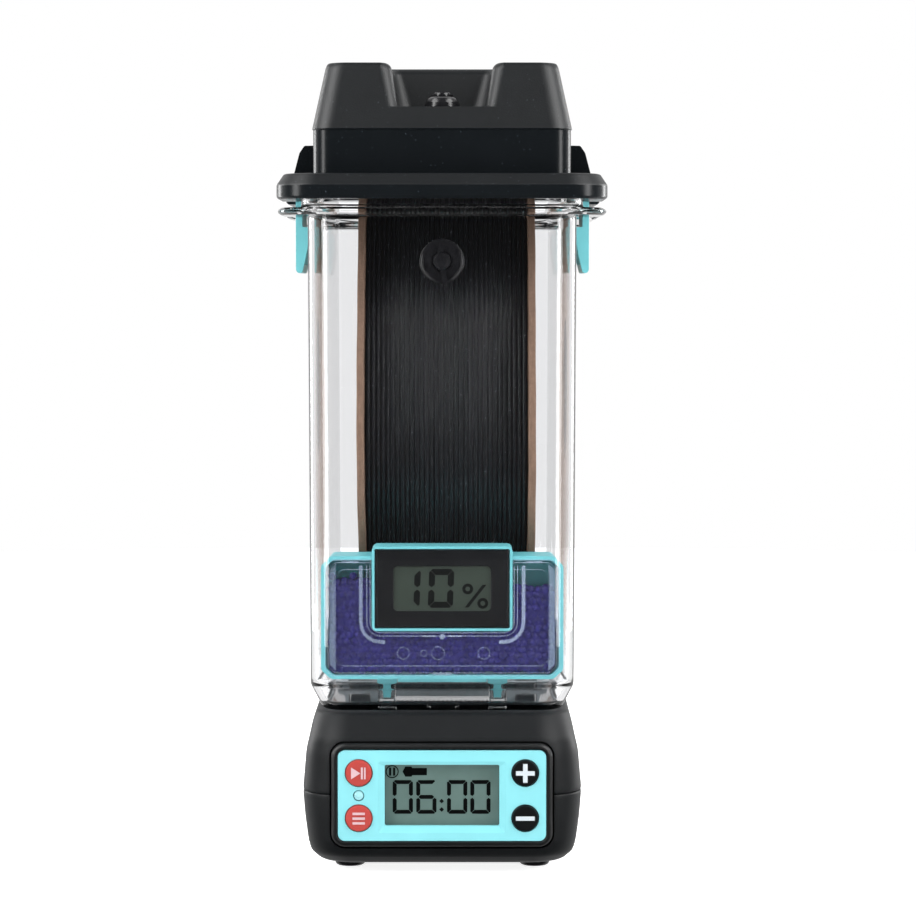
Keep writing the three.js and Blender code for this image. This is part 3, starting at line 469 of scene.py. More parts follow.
def filament_plastic(name):
    colour = (0.008, 0.0085, 0.0098)
    surface = Surface(name, colour, 0.32, specular=0.32)
    turns = surface.noise((1.8, 90, 90), detail=0, seed=8)
    specks = surface.noise(0.9, detail=0, seed=4)
    wound = surface.tint(turns, *shades(colour, 0.93, 1.08))
    dust = surface.tint(specks, (1, 1, 1), (9, 9, 9), 0.77, 0.8)
    surface.colour_from(surface.blend_colours("MULTIPLY", 1.0, wound, dust))
    surface.roughness_from(surface.between(surface.noise(14, seed=2), 0.3, 0.35))
    return surface.material


def bead_glass(name):
    """Violet silica gel: waxy, slightly clear beads of uneven depth of colour."""
    colour = (0.021, 0.0155, 0.128)
    surface = Surface(name, colour, 0.45, specular=0.3)
    shader = surface.shader
    surface.colour_from(surface.tint(surface.noise(2.6, detail=2), *shades(colour, 0.7, 1.35)))
    shader.inputs["Subsurface Weight"].default_value = 0.5
    shader.inputs["Subsurface Radius"].default_value = (0.3, 0.25, 0.9)
    shader.inputs["Subsurface Scale"].default_value = 0.0012
    surface.bump(surface.noise(0.8, detail=2, seed=4), 0.03)
    return surface.material


def display_glass(name, colour):
    """The grey-green face of a liquid crystal display behind its polished cover."""
    surface = Surface(name, colour, 0.3)
    surface.shader.inputs["Coat Weight"].default_value = 0.5
    surface.shader.inputs["Coat Roughness"].default_value = 0.06
    cloud = surface.noise(9, detail=2)
    surface.colour_from(surface.tint(cloud, *shades(colour, 0.9, 1.1)))
    surface.bump(surface.noise(0.3, detail=1, seed=2), 0.003)
    return surface.material


def crystal_ink(name):
    """The dark of a switched-on display segment, a little uneven as liquid crystal is."""
    colour = (0.0012, 0.0014, 0.0016)
    surface = Surface(name, colour, 0.35, specular=0.25)
    surface.colour_from(surface.tint(surface.noise(1.5), *shades(colour, 0.8, 1.3)))
    return surface.material


def printed_ink(name, colour):
    surface = Surface(name, colour, 0.5)
    surface.colour_from(surface.tint(surface.noise(0.5, detail=4), *shades(colour, 0.92, 1.04)))
    surface.bump(surface.noise(0.2, seed=2), 0.006)
    return surface.material


def metal(name, colour, roughness, lines):
    """Metal with fine tool marks. lines gives the marks' size along x, y and z."""
    surface = Surface(name, colour, roughness, metallic=1.0)
    marks = surface.noise(lines, detail=4)
    surface.colour_from(surface.tint(marks, *shades(colour, 0.82, 1.08)))
    surface.roughness_from(surface.between(surface.noise(lines, seed=3), roughness - 0.08, roughness + 0.1))
    surface.bump(marks, 0.006)
    return surface.material


def circuit_board(name):
    """Solder resist over copper tracks."""
    colour = (0.012, 0.095, 0.038)
    surface = Surface(name, colour, 0.35)
    tracks = surface.cells(2.6, "DISTANCE_TO_EDGE").outputs["Distance"]
    surface.colour_from(surface.tint(tracks, *shades(colour, 1.6, 0.9), 0.04, 0.08))
    surface.bump(tracks, 0.04)
    return surface.material


BLACK = (0.0055, 0.0064, 0.0073)
BEZEL = (0.005, 0.0055, 0.006)
TEAL = (0.14, 0.49, 0.53)
PANEL = (0.21, 0.6, 0.65)
RED = (0.43, 0.045, 0.036)
BUTTON_BLACK = (0.004, 0.0045, 0.005)
METER_BLACK = (0.0065, 0.007, 0.008)
DARK_GREY = (0.022, 0.024, 0.026)
# painted light: the cradle's pale grey stands in for light that does not reach the shaded space under the
# tray
CRADLE_PAINTED_LIGHT_GREY = (0.44, 0.46, 0.48)
LENS = (0.3, 0.6, 0.64)

MATERIALS = {
    "dock": moulded_plastic("dock_plastic", BLACK, 0.46, depth=0.035, variation=0.1, specular=0.22),
    "lid": lid_plastic("lid_plastic", BLACK),
    "bezel": moulded_plastic("bezel_plastic", BEZEL, 0.4, grain=0.35),
    "teal": moulded_plastic("teal_plastic", TEAL, 0.4, grain=0.7, depth=0.01, variation=0.05),
    "panel": moulded_plastic("panel_plastic", PANEL, 0.45, depth=0.008, variation=0.03),
    "red": moulded_plastic("red_plastic", RED, 0.35, depth=0.006, variation=0.06),
    "black_button": moulded_plastic("black_button_plastic", BUTTON_BLACK, 0.3, depth=0.006),
    "meter": moulded_plastic("meter_plastic", METER_BLACK, 0.34, grain=0.45, depth=0.01, specular=0.22),
    "hidden": moulded_plastic("hidden_plastic", DARK_GREY, 0.5, grain=0.8),
    "clear": clear_plastic("clear_plastic", (0.97, 0.972, 0.98)),
    "cover": clear_plastic("cover_plastic", (0.96, 0.985, 0.99), 0.02),
    "rib_glint": rib_glint_plastic("rib_glint_plastic"),
    "cradle": moulded_plastic("cradle_plastic", CRADLE_PAINTED_LIGHT_GREY, 0.4, grain=0.6),
    "lens": moulded_plastic("lens_plastic", LENS, 0.12, grain=2, depth=0.004),
    "rubber": rubber("black_rubber"),
    "cardboard": cardboard("cardboard"),
    "filament": filament_plastic("black_filament"),
    "beads": bead_glass("silica_beads"),
    "display": display_glass("display_glass", (0.096, 0.155, 0.14)),
    "meter_display": display_glass("meter_glass", (0.029, 0.041, 0.031)),
    "ink": crystal_ink("crystal_ink"),
    "white_print": printed_ink("white_print", (0.54, 0.6, 0.64)),
    "pink_print": printed_ink("pink_print", (0.6, 0.4, 0.43)),
    "steel": metal("turned_steel", (0.5, 0.51, 0.52), 0.25, (3, 0.3, 0.3)),
    "shield": metal("shield_steel", (0.42, 0.43, 0.44), 0.35, (0.4, 2, 2)),
    "aluminium": metal("extruded_aluminium", (0.6, 0.62, 0.64), 0.35, (0.4, 6, 0.4)),
    "board": circuit_board("circuit_board"),
}


# ---- Dock --------------------------------------------------------------------------------------

SEAM_Z = high("dock_lower_shell").z + 0.15
DOCK_TOP = high("dock_upper_shell").z
DOCK_BOTTOM = low("dock_lower_shell").z
DOCK_SIZE = extent("dock_upper_shell")
DOCK_WALL = 2.4
AIR_PORT_Y = 32  # the two air ports stand this far in front of and behind the middle
SEAM_GAP = 0.12  # half the open seam between the two shells
PANEL_MIDDLE = middle("control_panel")
PANEL_SIZE = extent("control_panel")
PANEL_FACE = low("control_panel").y


def dock_rings(profile, softness):
    """Rings from (height, side inset, end inset) triples, with each crease rounded off."""
    rings = []
    for height, side, end in rounded_path(profile, softness, 4):
        width = DOCK_SIZE.x - 2 * side
        depth = DOCK_SIZE.y - 2 * end
        rings.append(ring(width, depth, 16 - min(side, 8) * 0.6, height))
    return rings


def panel_cutter(grow, front, back, name="cutter"):
    """A rounded block round the control panel, from depth front to depth back."""
    width = PANEL_SIZE.x + 2 * grow
    height = PANEL_SIZE.z + 2 * grow
    rings = [ring(width, height, 2.5 + grow, depth) for depth in (-back, -front)]
    return move(loft(name, rings), z=PANEL_MIDDLE.z, matrix=FACING_FRONT)


def dock_shells():
    top = [
        (SEAM_Z + SEAM_GAP, 0.35, 0.35), (SEAM_Z + 0.5, 0, 0), (43.5, 1.2, 0.1), (48.3, 2.3, 0.6),
        (53.5, 3.4, 4.6), (DOCK_TOP - 0.5, 4.5, 8), (DOCK_TOP, 6.2, 9.8),
    ]
    inside = [(DOCK_TOP - DOCK_WALL, 8.5, 12), (48, 5, 3.4), (SEAM_Z + SEAM_GAP, DOCK_WALL, DOCK_WALL)]
    upper = loft("dock_upper_cover", dock_rings(top, 1.6))
    room = dock_rings(list(reversed(inside)), 1)
    room[0] = [(x, y, SEAM_Z - 2) for x, y, _ in room[0]]
    combine(upper, loft("room", room))
    for side in (-1, 1):
        port = move(prism("port", circle(12, 64), 8), y=AIR_PORT_Y * side, z=DOCK_TOP - 5)
        combine(upper, port)
    combine(upper, panel_cutter(3.0, PANEL_FACE - 6, PANEL_FACE + 12))
    round_edges(upper, 0.35, 2, 50)
    add(upper, "dock", "dock", "dock_plastic", "dock_upper_shell")

    bottom = [
        (DOCK_BOTTOM, 9, 8.5), (DOCK_BOTTOM + 0.6, 6.2, 5.5), (7.2, 2.9, 1.6), (11, 1.9, 0.3),
        (20, 0.7, 0), (SEAM_Z - 0.5, 0, 0), (SEAM_Z - SEAM_GAP, 0.35, 0.35),
    ]
    lower = loft("dock_lower_cover", dock_rings(bottom, 1.8))
    floor = [(DOCK_BOTTOM + DOCK_WALL, 10, 10), (10, 4.4, 3), (SEAM_Z + 2, DOCK_WALL, DOCK_WALL)]
    combine(lower, loft("room", dock_rings(floor, 1)))
    combine(lower, panel_cutter(3.0, PANEL_FACE - 6, PANEL_FACE + 12))
    for end, side in product(ENDS, SIDES):
        head = middle(f"base_screw_{end}_{side}")
        combine(lower, move(prism("hole", circle(3.7, 32), 12), head.x, head.y, 0))
        sole = middle(f"foot_{end}_{side}")
        combine(lower, move(prism("stud", circle(2.4, 24), 12), sole.x, sole.y, 0))
    jack = middle("power_jack")
    combine(lower, move(prism("jack", circle(4.7, 32), 30), jack.x, 130, 18, matrix=FACING_FRONT))
    round_edges(lower, 0.35, 2, 50)
    add(lower, "dock", "dock", "dock_plastic", "dock_lower_shell")


def panel_bezel():
    """A raised black frame that rolls over towards the panel."""
    outer = extent("panel_bezel")
    front = -low("panel_bezel").y
    back = -high("panel_bezel").y
    inner_width = PANEL_SIZE.x + 0.5
    inner_height = PANEL_SIZE.z + 0.5
    rim = 2.35
    section = rounded_path([
        (back, 0), (front - 2.2, 0), (front - 0.4, 0.7), (front, 2.0), (front - 0.6, rim), (back, rim),
    ], 0.9, 4)
    share = (outer.x - inner_width) / 2 / rim
    rings = []
    for depth, inset in section:
        width = outer.x - 2 * inset * share
        height = outer.z - 2 * inset * (outer.z - inner_height) / 2 / rim
        rings.append(ring(width, height, 5.2 - inset, depth))
    frame_piece = loft("panel_surround", rings, looped=True)
    move(frame_piece, z=PANEL_MIDDLE.z, matrix=FACING_FRONT)
    shade(frame_piece, 50)
    add(frame_piece, "dock", "bezel", "dock_plastic", "panel_bezel")


DISPLAY_WIDTH = 40.9
DISPLAY_HEIGHT = 21.9
BUTTONS = {
    "button_start_pause": ("start_pause_button", "red", "red_plastic"),
    "button_mode": ("mode_button", "red", "red_plastic"),
    "button_plus": ("plus_button", "black_button", "black_button_plastic"),
    "button_minus": ("minus_button", "black_button", "black_button_plastic"),
}


def control_panel():
    plate = panel_cutter(0, PANEL_FACE, PANEL_FACE + PANEL_SIZE.y, "panel_plate")
    flare = [
        (-PANEL_FACE + 0.2, 4.6, 4.0, 0.6), (-PANEL_FACE - 0.1, 4.2, 3.6, 0.6),
        (-PANEL_FACE - 0.75, 0, 0, 0), (-PANEL_FACE - 5, 0, 0, 0),
    ]
    rings = []
    for depth, wide, tall, drop in reversed(flare):
        rings.append(ring(DISPLAY_WIDTH + wide, DISPLAY_HEIGHT + tall, 0.7, depth, (0, -drop)))
    combine(plate, move(loft("window", rings), z=PANEL_MIDDLE.z, matrix=FACING_FRONT))
    for name in BUTTONS:
        place = middle(name)
        hole = move(prism("hole", circle(5.0, 72), 20), place.x, -108, place.z, matrix=FACING_FRONT)
        combine(plate, hole)
    lamp = middle("status_light")
    hole = move(prism("hole", circle(2.0, 40), 20), lamp.x, -108, lamp.z, matrix=FACING_FRONT)
    combine(plate, hole)
    round_edges(plate, 0.3, 3, 40)
    add(plate, "dock", "panel", "panel_plastic", "control_panel")


def button(name):
    """A cap with a rolled edge and a faintly dished face, its collar and its stem."""
    body, material, slot = BUTTONS[name]
    front = -low(name).y
    back = -high(name).y
    cap = [
        (0, back), (2, back), (2, front - 4.6), (5.6, front - 4.6), (5.6, front - 3.7),
        (4.75, front - 3.6), (4.75, front - 0.7), (4.45, front - 0.15), (3.9, front),
        (2.6, front - 0.12), (0, front - 0.2),
    ]
    piece = turned(name + "_cap", cap, 72)
    place = middle(name)
    move(piece, place.x, 0, place.z, matrix=FACING_FRONT)
    shade(piece, 40)
    add(piece, body, material, slot, name)


def glyph(name, button_name, outlines, material, slot):
    """Flat marks printed on a button's face, given as outlines round the button's middle."""
    place = middle(button_name)
    front = low(button_name).y
    marks = [prism("mark", outline, 0.35) for outline in outlines]
    for mark in marks:
        move(mark, place.x, front + 0.28, place.z, matrix=FACING_FRONT)
    piece = merge(name, marks)
    shade(piece)
    add(piece, BUTTONS[button_name][0], material, slot)


def bar(x, y, width, height):
    half_width = width / 2
    half_height = height / 2
    return [
        (x - half_width, y - half_height), (x + half_width, y - half_height),
        (x + half_width, y + half_height), (x - half_width, y + half_height),
    ]


def button_glyphs():
    play = [(-2.7, -2.1), (0.6, 0), (-2.7, 2.1)]
    glyph("start_pause_mark", "button_start_pause",
          [play, bar(1.15, 0, 0.7, 4.2), bar(2.2, 0, 0.6, 4.2)], "pink_print", "red_plastic")
    rows = [bar(0, rise, 4.4, 0.85) for rise in (1.7, 0, -1.7)]
    glyph("mode_mark", "button_mode", rows, "pink_print", "red_plastic")
    arm = 0.8
    reach = 3.35
    plus = [
        (arm, -reach), (arm, -arm), (reach, -arm), (reach, arm), (arm, arm), (arm, reach),
        (-arm, reach), (-arm, arm), (-reach, arm), (-reach, -arm), (-arm, -arm), (-arm, -reach),
    ]
    glyph("plus_mark", "button_plus", [plus], "white_print", "black_button_plastic")
    glyph("minus_mark", "button_minus", [bar(0, 0, 6.7, 1.5)], "white_print", "black_button_plastic")


# Which of the seven strokes each digit lights: top, upper left, upper right, middle, lower left,
# lower right, bottom.
DIGIT_STROKES = {"0": (1, 1, 1, 0, 1, 1, 1), "1": (0, 0, 1, 0, 0, 1, 0), "6": (1, 1, 0, 1, 1, 1, 1)}


def digit_outlines(digit, width, height, stroke, gap=0.1):
    """Outlines of a digit's lit strokes round its middle, mitred where they meet at a corner."""
    half, rise = width / 2, height / 2
    cut = stroke / 2

    def level(sign):
        outer = sign * rise
        shoulder = sign * (rise - cut / 2)
        inner = sign * (rise - stroke)
        return [
            (-half + cut + gap, outer), (half - cut - gap, outer), (half - cut / 2 - gap, shoulder),
            (half - stroke - gap, inner), (-half + stroke + gap, inner), (-half + cut / 2 + gap, shoulder),
        ]

    def upright(side, sign):
        outer = side * half
        shoulder = side * (half - cut / 2)
        inner = side * (half - stroke)
        near = sign * (cut * 0.5 + gap)
        return [
            (outer, sign * (rise - cut - gap)), (outer, near + sign * cut * 0.5),
            (side * (half - cut), near - sign * cut * 0.2), (inner, near + sign * cut * 0.7),
            (inner, sign * (rise - stroke - gap)), (shoulder, sign * (rise - cut / 2 - gap)),
        ]

    reach = half - cut - gap
    crossbar = [
        (-reach, 0), (-reach + cut, -cut), (reach - cut, -cut), (reach, 0), (reach - cut, cut),
        (-reach + cut, cut),
    ]
    strokes = [
        level(1), upright(-1, 1), upright(1, 1), crossbar, upright(-1, -1), upright(1, -1), level(-1),
    ]
    return [anticlockwise(line) for line, lit in zip(strokes, DIGIT_STROKES[digit]) if lit]


def anticlockwise(outline):
    """The same outline, turned round if it runs clockwise."""
    pairs = zip(outline, outline[1:] + outline[:1])
    area = sum(x0 * y1 - x1 * y0 for (x0, y0), (x1, y1) in pairs)
    return outline if area > 0 else outline[::-1]


def shifted(outlines, x, y, slant=0.0):
    return [[(px + x + slant * py, py + y) for px, py in outline] for outline in outlines]


def washer(name, outer, inner, thickness):
    """A flat washer."""
    return turned(name, [(inner, 0), (outer, 0), (outer, thickness), (inner, thickness)], 40, closed=True)


def display_marks(name, outlines, washers, centre, face, body, slot):
    """Lit segments of a display, standing just proud of its face."""
    thickness = 0.05
    marks = [prism("mark", outline, thickness) for outline in outlines]
    for x, y, outer, inner in washers:
        marks.append(move(washer("washer", outer, inner, thickness), x, y))
    for mark in marks:
        move(mark, centre.x, face, centre.z, matrix=FACING_FRONT)
    piece = merge(name, marks)
    shade(piece)
    add(piece, body, "ink", slot)


def dock_display():
    front = -low("display_lcd").y
    back = -high("display_lcd").y
    size = extent("display_lcd")
    slab = loft("display_panel", [
        ring(size.x, size.z, 1, back), ring(size.x, size.z, 1, front - 0.3),
        ring(size.x - 0.5, size.z - 0.5, 0.8, front),
    ])
    move(slab, z=PANEL_MIDDLE.z, matrix=FACING_FRONT)
    shade(slab)
    add(slab, "dock", "display", "display_glass", "display_lcd")

    digit = (7.2, 12.1, 1.4)
    outlines = []
    for text, x in (("0", -14.0), ("6", -5.6), ("0", 5.4), ("0", 13.7)):
        outlines += shifted(digit_outlines(text, *digit), x, -0.9)
    for rise in (-2.4, -5.4):
        outlines.append(circle(0.85, 4, (-0.15, rise)))
    outlines += shifted([bar(-0.72, 0, 0.8, 2.9), bar(0.72, 0, 0.8, 2.9)], -17.8, 8.2)
    arrow = [
        (-4.4, 0), (-3.4, -1.8), (-1.2, -1.8), (-0.9, -1.3), (4.3, -1.3), (4.3, 1.3),
        (-0.9, 1.3), (-1.2, 1.8), (-3.4, 1.8),
    ]
    outlines += shifted([arrow], -9.7, 8.2)
    face = low("display_lcd").y - 0.01
    display_marks("display_segments", outlines, [(-17.8, 8.2, 2.35, 1.95)], PANEL_MIDDLE, face,
                  "dock", "display_glass")


def status_light():
    front = -low("status_light").y
    back = -high("status_light").y
    lens = turned("status_lens", [
        (0, back), (1.75, back), (1.75, front - 0.7), (1.6, front - 0.25), (1.1, front + 0.05),
        (0.5, front + 0.2), (0, front + 0.25),
    ], 40)
    place = middle("status_light")
    move(lens, place.x, 0, place.z, matrix=FACING_FRONT)
    shade(lens, 50)
    add(lens, "dock", "lens", "clear_plastic", "status_light")


def feet():
    """Four rubber feet with a dished sole, each with a stud that goes up into the lower shell."""
    sole = [
        (0, 0.5), (3.6, 0.5), (4.0, 0), (4.6, 0), (5.2, 0.35), (5.5, 1.1), (5.5, 3.0),
        (2, 3.1), (2, 5.4), (0, 5.5),
    ]
    for end, side in product(ENDS, SIDES):
        node = f"foot_{end}_{side}"
        place = middle(node)
        pad = move(turned(node + "_pad", sole, 48), place.x, place.y)
        shade(pad, 50)
        add(pad, "dock", "rubber", "black_rubber", node)


# ---- Clear box ---------------------------------------------------------------------------------

BOX_LOW = low("box_shell")
BOX_HIGH = high("box_shell")
BOX_Z = BOX_LOW.z
BOX_WIDTH = 96.5
BOX_DEPTH = 230.3
FLANGE_Z = BOX_Z + 177.5
LATCH_ROOM = 17.6  # half the width of the gap that a latch hangs in
LATCH_Y = 65  # latches stand this far in front of and behind the middle
COLLAR_WIDTH = 101
COLLAR_DEPTH = 234.8
LEG_X = 20  # the cartridge's legs and their sockets stand this far to each side
SOCKET_Y = -97


def latch_room(side, end, inner, z0, z1):
    """Room for one latch, cut from the flange with rounded inner corners."""
    half = LATCH_ROOM + 0.2
    x0, x1 = sorted((side * inner, side * 80))
    corner = ring(x1 - x0, 2 * half, 2.0, 0, ((x0 + x1) / 2, LATCH_Y * end), steps=5)
    return loft("room", [[(x, y, z) for x, y, _ in corner] for z in (z0, z1)])


def box_shell():
    """One skin: up the outside, over the flange and the collar, and down the inside to the floor."""
    width, depth = BOX_WIDTH, BOX_DEPTH
    flange_width = BOX_HIGH.x - BOX_LOW.x
    flange_depth = BOX_HIGH.y - BOX_LOW.y
    flange_top = FLANGE_Z + 2.7
    top = BOX_HIGH.z
    outside = [
        (width - 11.5, depth - 11.5, 8, BOX_Z), (width - 9.5, depth - 9.5, 9, BOX_Z + 0.6),
        (width - 1.3, depth - 1.3, 12, BOX_Z + 8.7), (width, depth, 12, FLANGE_Z - 0.6),
        (width + 1.6, depth + 1.6, 12.8, FLANGE_Z),
        (flange_width - 2.6, flange_depth - 2.6, 18.7, FLANGE_Z),
        (flange_width, flange_depth, 20, FLANGE_Z + 0.9), (flange_width, flange_depth, 20, flange_top - 0.9),
        (flange_width - 2.6, flange_depth - 2.6, 18.7, flange_top),
        (COLLAR_WIDTH + 1.6, COLLAR_DEPTH + 1.6, 15, flange_top),
        (COLLAR_WIDTH, COLLAR_DEPTH, 14.2, flange_top + 0.8), (COLLAR_WIDTH, COLLAR_DEPTH, 14.2, top - 0.8),
        (COLLAR_WIDTH - 1.4, COLLAR_DEPTH - 1.4, 13.5, top), (COLLAR_WIDTH - 3, COLLAR_DEPTH - 3, 12.7, top),
    ]
    inside = [
        (width + 0.2, depth + 0.2, 12.1, top - 0.7), (width + 0.1, depth + 0.1, 12, flange_top + 1.2),
        (width - 3.3, depth - 3.3, 10.4, flange_top - 0.4), (width - 4, depth - 4, 10, flange_top - 2),
        (width - 5.3, depth - 5.3, 10, BOX_Z + 10),
        (width - 12.6, depth - 12.6, 8, BOX_Z + 3.2), (width - 15, depth - 15, 7, BOX_Z + 2.5),
    ]
    path = rounded_path(outside, 1.0, 3) + rounded_path(inside, 1.2, 3)
    shell = loft("clear_box", [ring(w, d, r, z, steps=14) for w, d, r, z in path])
    for side, end in product((-1, 1), repeat=2):
        combine(shell, latch_room(side, end, BOX_WIDTH / 2 + 0.3, FLANGE_Z - 0.8, flange_top + 0.55))
    port_z = middle("port_grommet_front").z
    for side in (-1, 1):
        combine(shell, move(prism("hole", circle(9, 48), 12), y=AIR_PORT_Y * side, z=BOX_Z - 4))
    combine(shell, move(prism("hole", circle(5, 48), 30), y=-100, z=port_z, matrix=FACING_FRONT))
    shade(shell, 28)
    shell.modifiers.new("normals", "WEIGHTED_NORMAL").keep_sharp = True
    add(shell, "box", "clear", "clear_plastic", "box_shell")
    for name, side in SIDES.items():
        leg_socket("leg_socket_" + name, (LEG_X * side, SOCKET_Y))


def leg_socket(name, place):
    """An open clear cup on the box's floor that holds one leg of the cartridge."""
    floor = BOX_Z + 2.45
    rim = BOX_Z + 6.4
    socket = loft(name, [
        ring(6.4, 8, 0.8, floor, place), ring(6.2, 7.8, 0.8, rim, place),
        ring(3.9, 5.3, 0.5, rim, place), ring(3.7, 5.1, 0.5, BOX_Z + 3.1, place),
    ])
    shade(socket)
    add(socket, "box", "cover", "clear_plastic")


# ---- Ports, plugs, valves, cradle --------------------------------------------------------------


def grommet(name, top_section, wall):
    """A rubber grommet about Z, its wall groove below z = 0 and the given section above."""
    bore, neck = 3.3, 4.7
    section = [
        (bore, -wall - 1.8), (6.2, -wall - 1.8), (6.5, -wall - 1.4), (6.5, -wall - 0.3),
        (neck, -wall - 0.2), (neck, 0.2),
    ]
    return turned(name, rounded_path(section + top_section, 0.2, 3, closed=True), 72, closed=True)


# Grommet sections above the wall, as (radius, height): a lipped dish and a dome.
DISH = [(8, 0.25), (8, 1.1), (7.75, 1.5), (7.4, 1.45), (6.6, 0.85), (5.4, 0.7), (4.3, 0.9), (3.3, 0.8)]
DOME = [
    (6.5, 0.25), (6.5, 0.6), (6.15, 2.25), (5.3, 3.6), (4.3, 4.2), (4.1, 4.2), (3.7, 3.6), (3.3, 3.1),
]


def plug(name, stem_bottom, cap_bottom, cap_height, tab_length, ear_length):
    """A rubber plug about Z with a dished cap, a short ear and a tapering pull tab."""
    top = cap_bottom + cap_height
    stem = turned(name, [
        (0, stem_bottom), (2.3, stem_bottom), (2.85, stem_bottom + 0.7), (2.85, cap_bottom),
        (3.1, cap_bottom + 0.1), (3.2, cap_bottom + 0.6), (3.0, top - 0.35), (2.6, top), (2.2, top),
        (1.9, top - 0.45), (0, top - 0.6),
    ], 56)
    tab = [
        (-1.0, -2), (-0.9, -tab_length * 0.6), (-0.4, -tab_length + 0.5), (0, -tab_length),
        (0.4, -tab_length + 0.5), (0.9, -tab_length * 0.6), (1.0, -2), (1.2, 2),
        (0.9, ear_length - 0.6), (0, ear_length), (-0.9, ear_length - 0.6), (-1.2, 2),
    ]
    strip = move(prism("strip", rounded_path(tab, 0.4, 3, closed=True), 1.0), z=cap_bottom)
    combine(stem, strip, operation="UNION")
    return stem


def ports():
    wall_y = -BOX_DEPTH / 2 + 0.05
    port_z = middle("port_grommet_front").z
    ring_piece = grommet("front_port_ring", DISH, 2.2)
    move(ring_piece, 0, wall_y, port_z, matrix=FACING_FRONT)
    shade(ring_piece, 45)
    add(ring_piece, "box", "rubber", "black_rubber", "port_grommet_front")
    lean = Matrix.Rotation(math.radians(8), 4, "Z")
    stopper = plug("front_port_stopper", -3, 1.2, 2.2, 11, 5.5)
    move(stopper, 0, wall_y, port_z, matrix=FACING_FRONT @ lean)
    round_edges(stopper, 0.2, 2, 45)
    add(stopper, "front_plug", "rubber", "black_rubber", "port_plug_front")

    lid_port = Vector((0, middle("port_grommet_lid").y, high("port_grommet_lid").z - 4.2))
    dome = grommet("lid_port_ring", DOME, 2.5)
    move(dome, 0, lid_port.y, lid_port.z)
    shade(dome, 45)
    add(dome, "lid", "rubber", "black_rubber", "port_grommet_lid")
    cap = plug("lid_port_stopper", -4, 4.0, 1.9, 4.4, 4.4)
    move(cap, 0, lid_port.y, lid_port.z, matrix=Matrix.Rotation(math.radians(70), 4, "Z"))
    round_edges(cap, 0.2, 2, 45)
    add(cap, "lid_plug", "rubber", "black_rubber", "port_plug_lid")


def valves():
    """A rubber seat in each air port of the box, and the disc that closes it when the box is lifted."""
    for port in ("supply", "return"):
        seat_node = f"valve_seat_{port}"
        place = middle(seat_node)
        base = low(seat_node).z
        top = high(seat_node).z
        seat = turned(seat_node + "_ring", rounded_path([
            (6, base), (8.7, base), (8.7, top - 1.3), (11, top - 1.2), (11, top - 0.2), (7.5, top),
            (6, top - 0.2),
        ], 0.3, 3, closed=True), 56, closed=True)
        move(seat, 0, place.y)
        shade(seat, 45)
        add(seat, "box", "rubber", "black_rubber", seat_node)
        disc_node = f"valve_disc_{port}"
        base = low(disc_node).z
        top = high(disc_node).z
        disc = turned(disc_node + "_cap", [
            (0, base), (1.7, base), (2, base + 0.4), (2, top - 1.8), (8.1, top - 1.8), (8.5, top - 1.4),
            (8.5, top - 0.6), (8.0, top - 0.2), (3.2, top - 0.2), (2.6, top), (0, top),
        ], 56)
        move(disc, 0, place.y)
        shade(disc, 40)
        add(disc, f"{port}_valve", "hidden", "hidden_plastic", disc_node)


def bearing(node, body):
    """A sealed ball bearing: chamfered outer ring, shield, and inner ring round its axle."""
    half = extent(node).x / 2
    outer = extent(node).z / 2
    face = [
        (4.0, 0), (5.9, 0), (6.0, 0.35), (9.0, 0.35), (9.2, 0), (outer - 0.4, 0), (outer, 0.5),
    ]
    section = [(radius, -half + sunk) for radius, sunk in face]
    section += [(radius, half - sunk) for radius, sunk in reversed(face)]
    race = turned(node + "_bearing", rounded_path(section, 0.12, 2, closed=True), 80, closed=True)
    move(race, *middle(node), matrix=ALONG_X)
    shade(race, 30)
    add(race, body, "shield", "steel", node)


def axle(node):
    half = extent(node).x / 2
    rod = turned(node + "_rod", [
        (0, -half), (3.2, -half), (3.7, -half + 0.5), (3.7, half - 0.5), (3.2, half), (0, half),
    ], 48)
    move(rod, *middle(node), matrix=ALONG_X)
    shade(rod, 30)
    add(rod, "box", "steel", "steel", node)


def refined(node, name, edge):
    """A copy of a CAD node's shape with its flat faces joined up and its edges rounded."""
    bm = bmesh.new()
    bm.from_mesh(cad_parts[node].data)
    bmesh.ops.remove_doubles(bm, verts=bm.verts, dist=0.002 * MM)
    bmesh.ops.dissolve_limit(bm, angle_limit=math.radians(1), verts=bm.verts, edges=bm.edges)
    return round_edges(from_bmesh(name, bm), edge, 2, 40)


def cradle():
    # the cradle's pale grey is painted light for the shaded space under the tray
    piece = refined("roller_cradle", "spool_cradle", 0.5)
    add(piece, "box", "cradle", "hidden_plastic", "roller_cradle")


# ---- Lid ---------------------------------------------------------------------------------------

# Heights in the lid stand on its underside.
LID_Z = low("lid_shell").z
LID_HEIGHT = high("lid_shell").z - LID_Z
FLANGE_TOP = 9
CREASE = 25  # height of the crease that runs round the lid's body
NOTCH_FLOOR = 33
LID_BODY_WIDTH = 93
LID_BODY_DEPTH = 225
FRONT_LEAN = 7  # how far the front leans back between the crease and the top


def notch_outline(half, back, front, corner, roll):
    """The notch seen from above: rounded back corners, and sides that roll out into the front."""
    right = []
    for step in range(9):
        angle = math.pi / 2 * (1 - step / 8)
        right.append((half - corner + corner * math.cos(angle), back - corner + corner * math.sin(angle)))
    for step in range(9):
        angle = math.pi / 2 * step / 8
        right.append((half + roll - roll * math.cos(angle), front + roll - roll * math.sin(angle)))
    right.append((half + roll, -170))
    return right[::-1] + [(-x, y) for x, y in right]


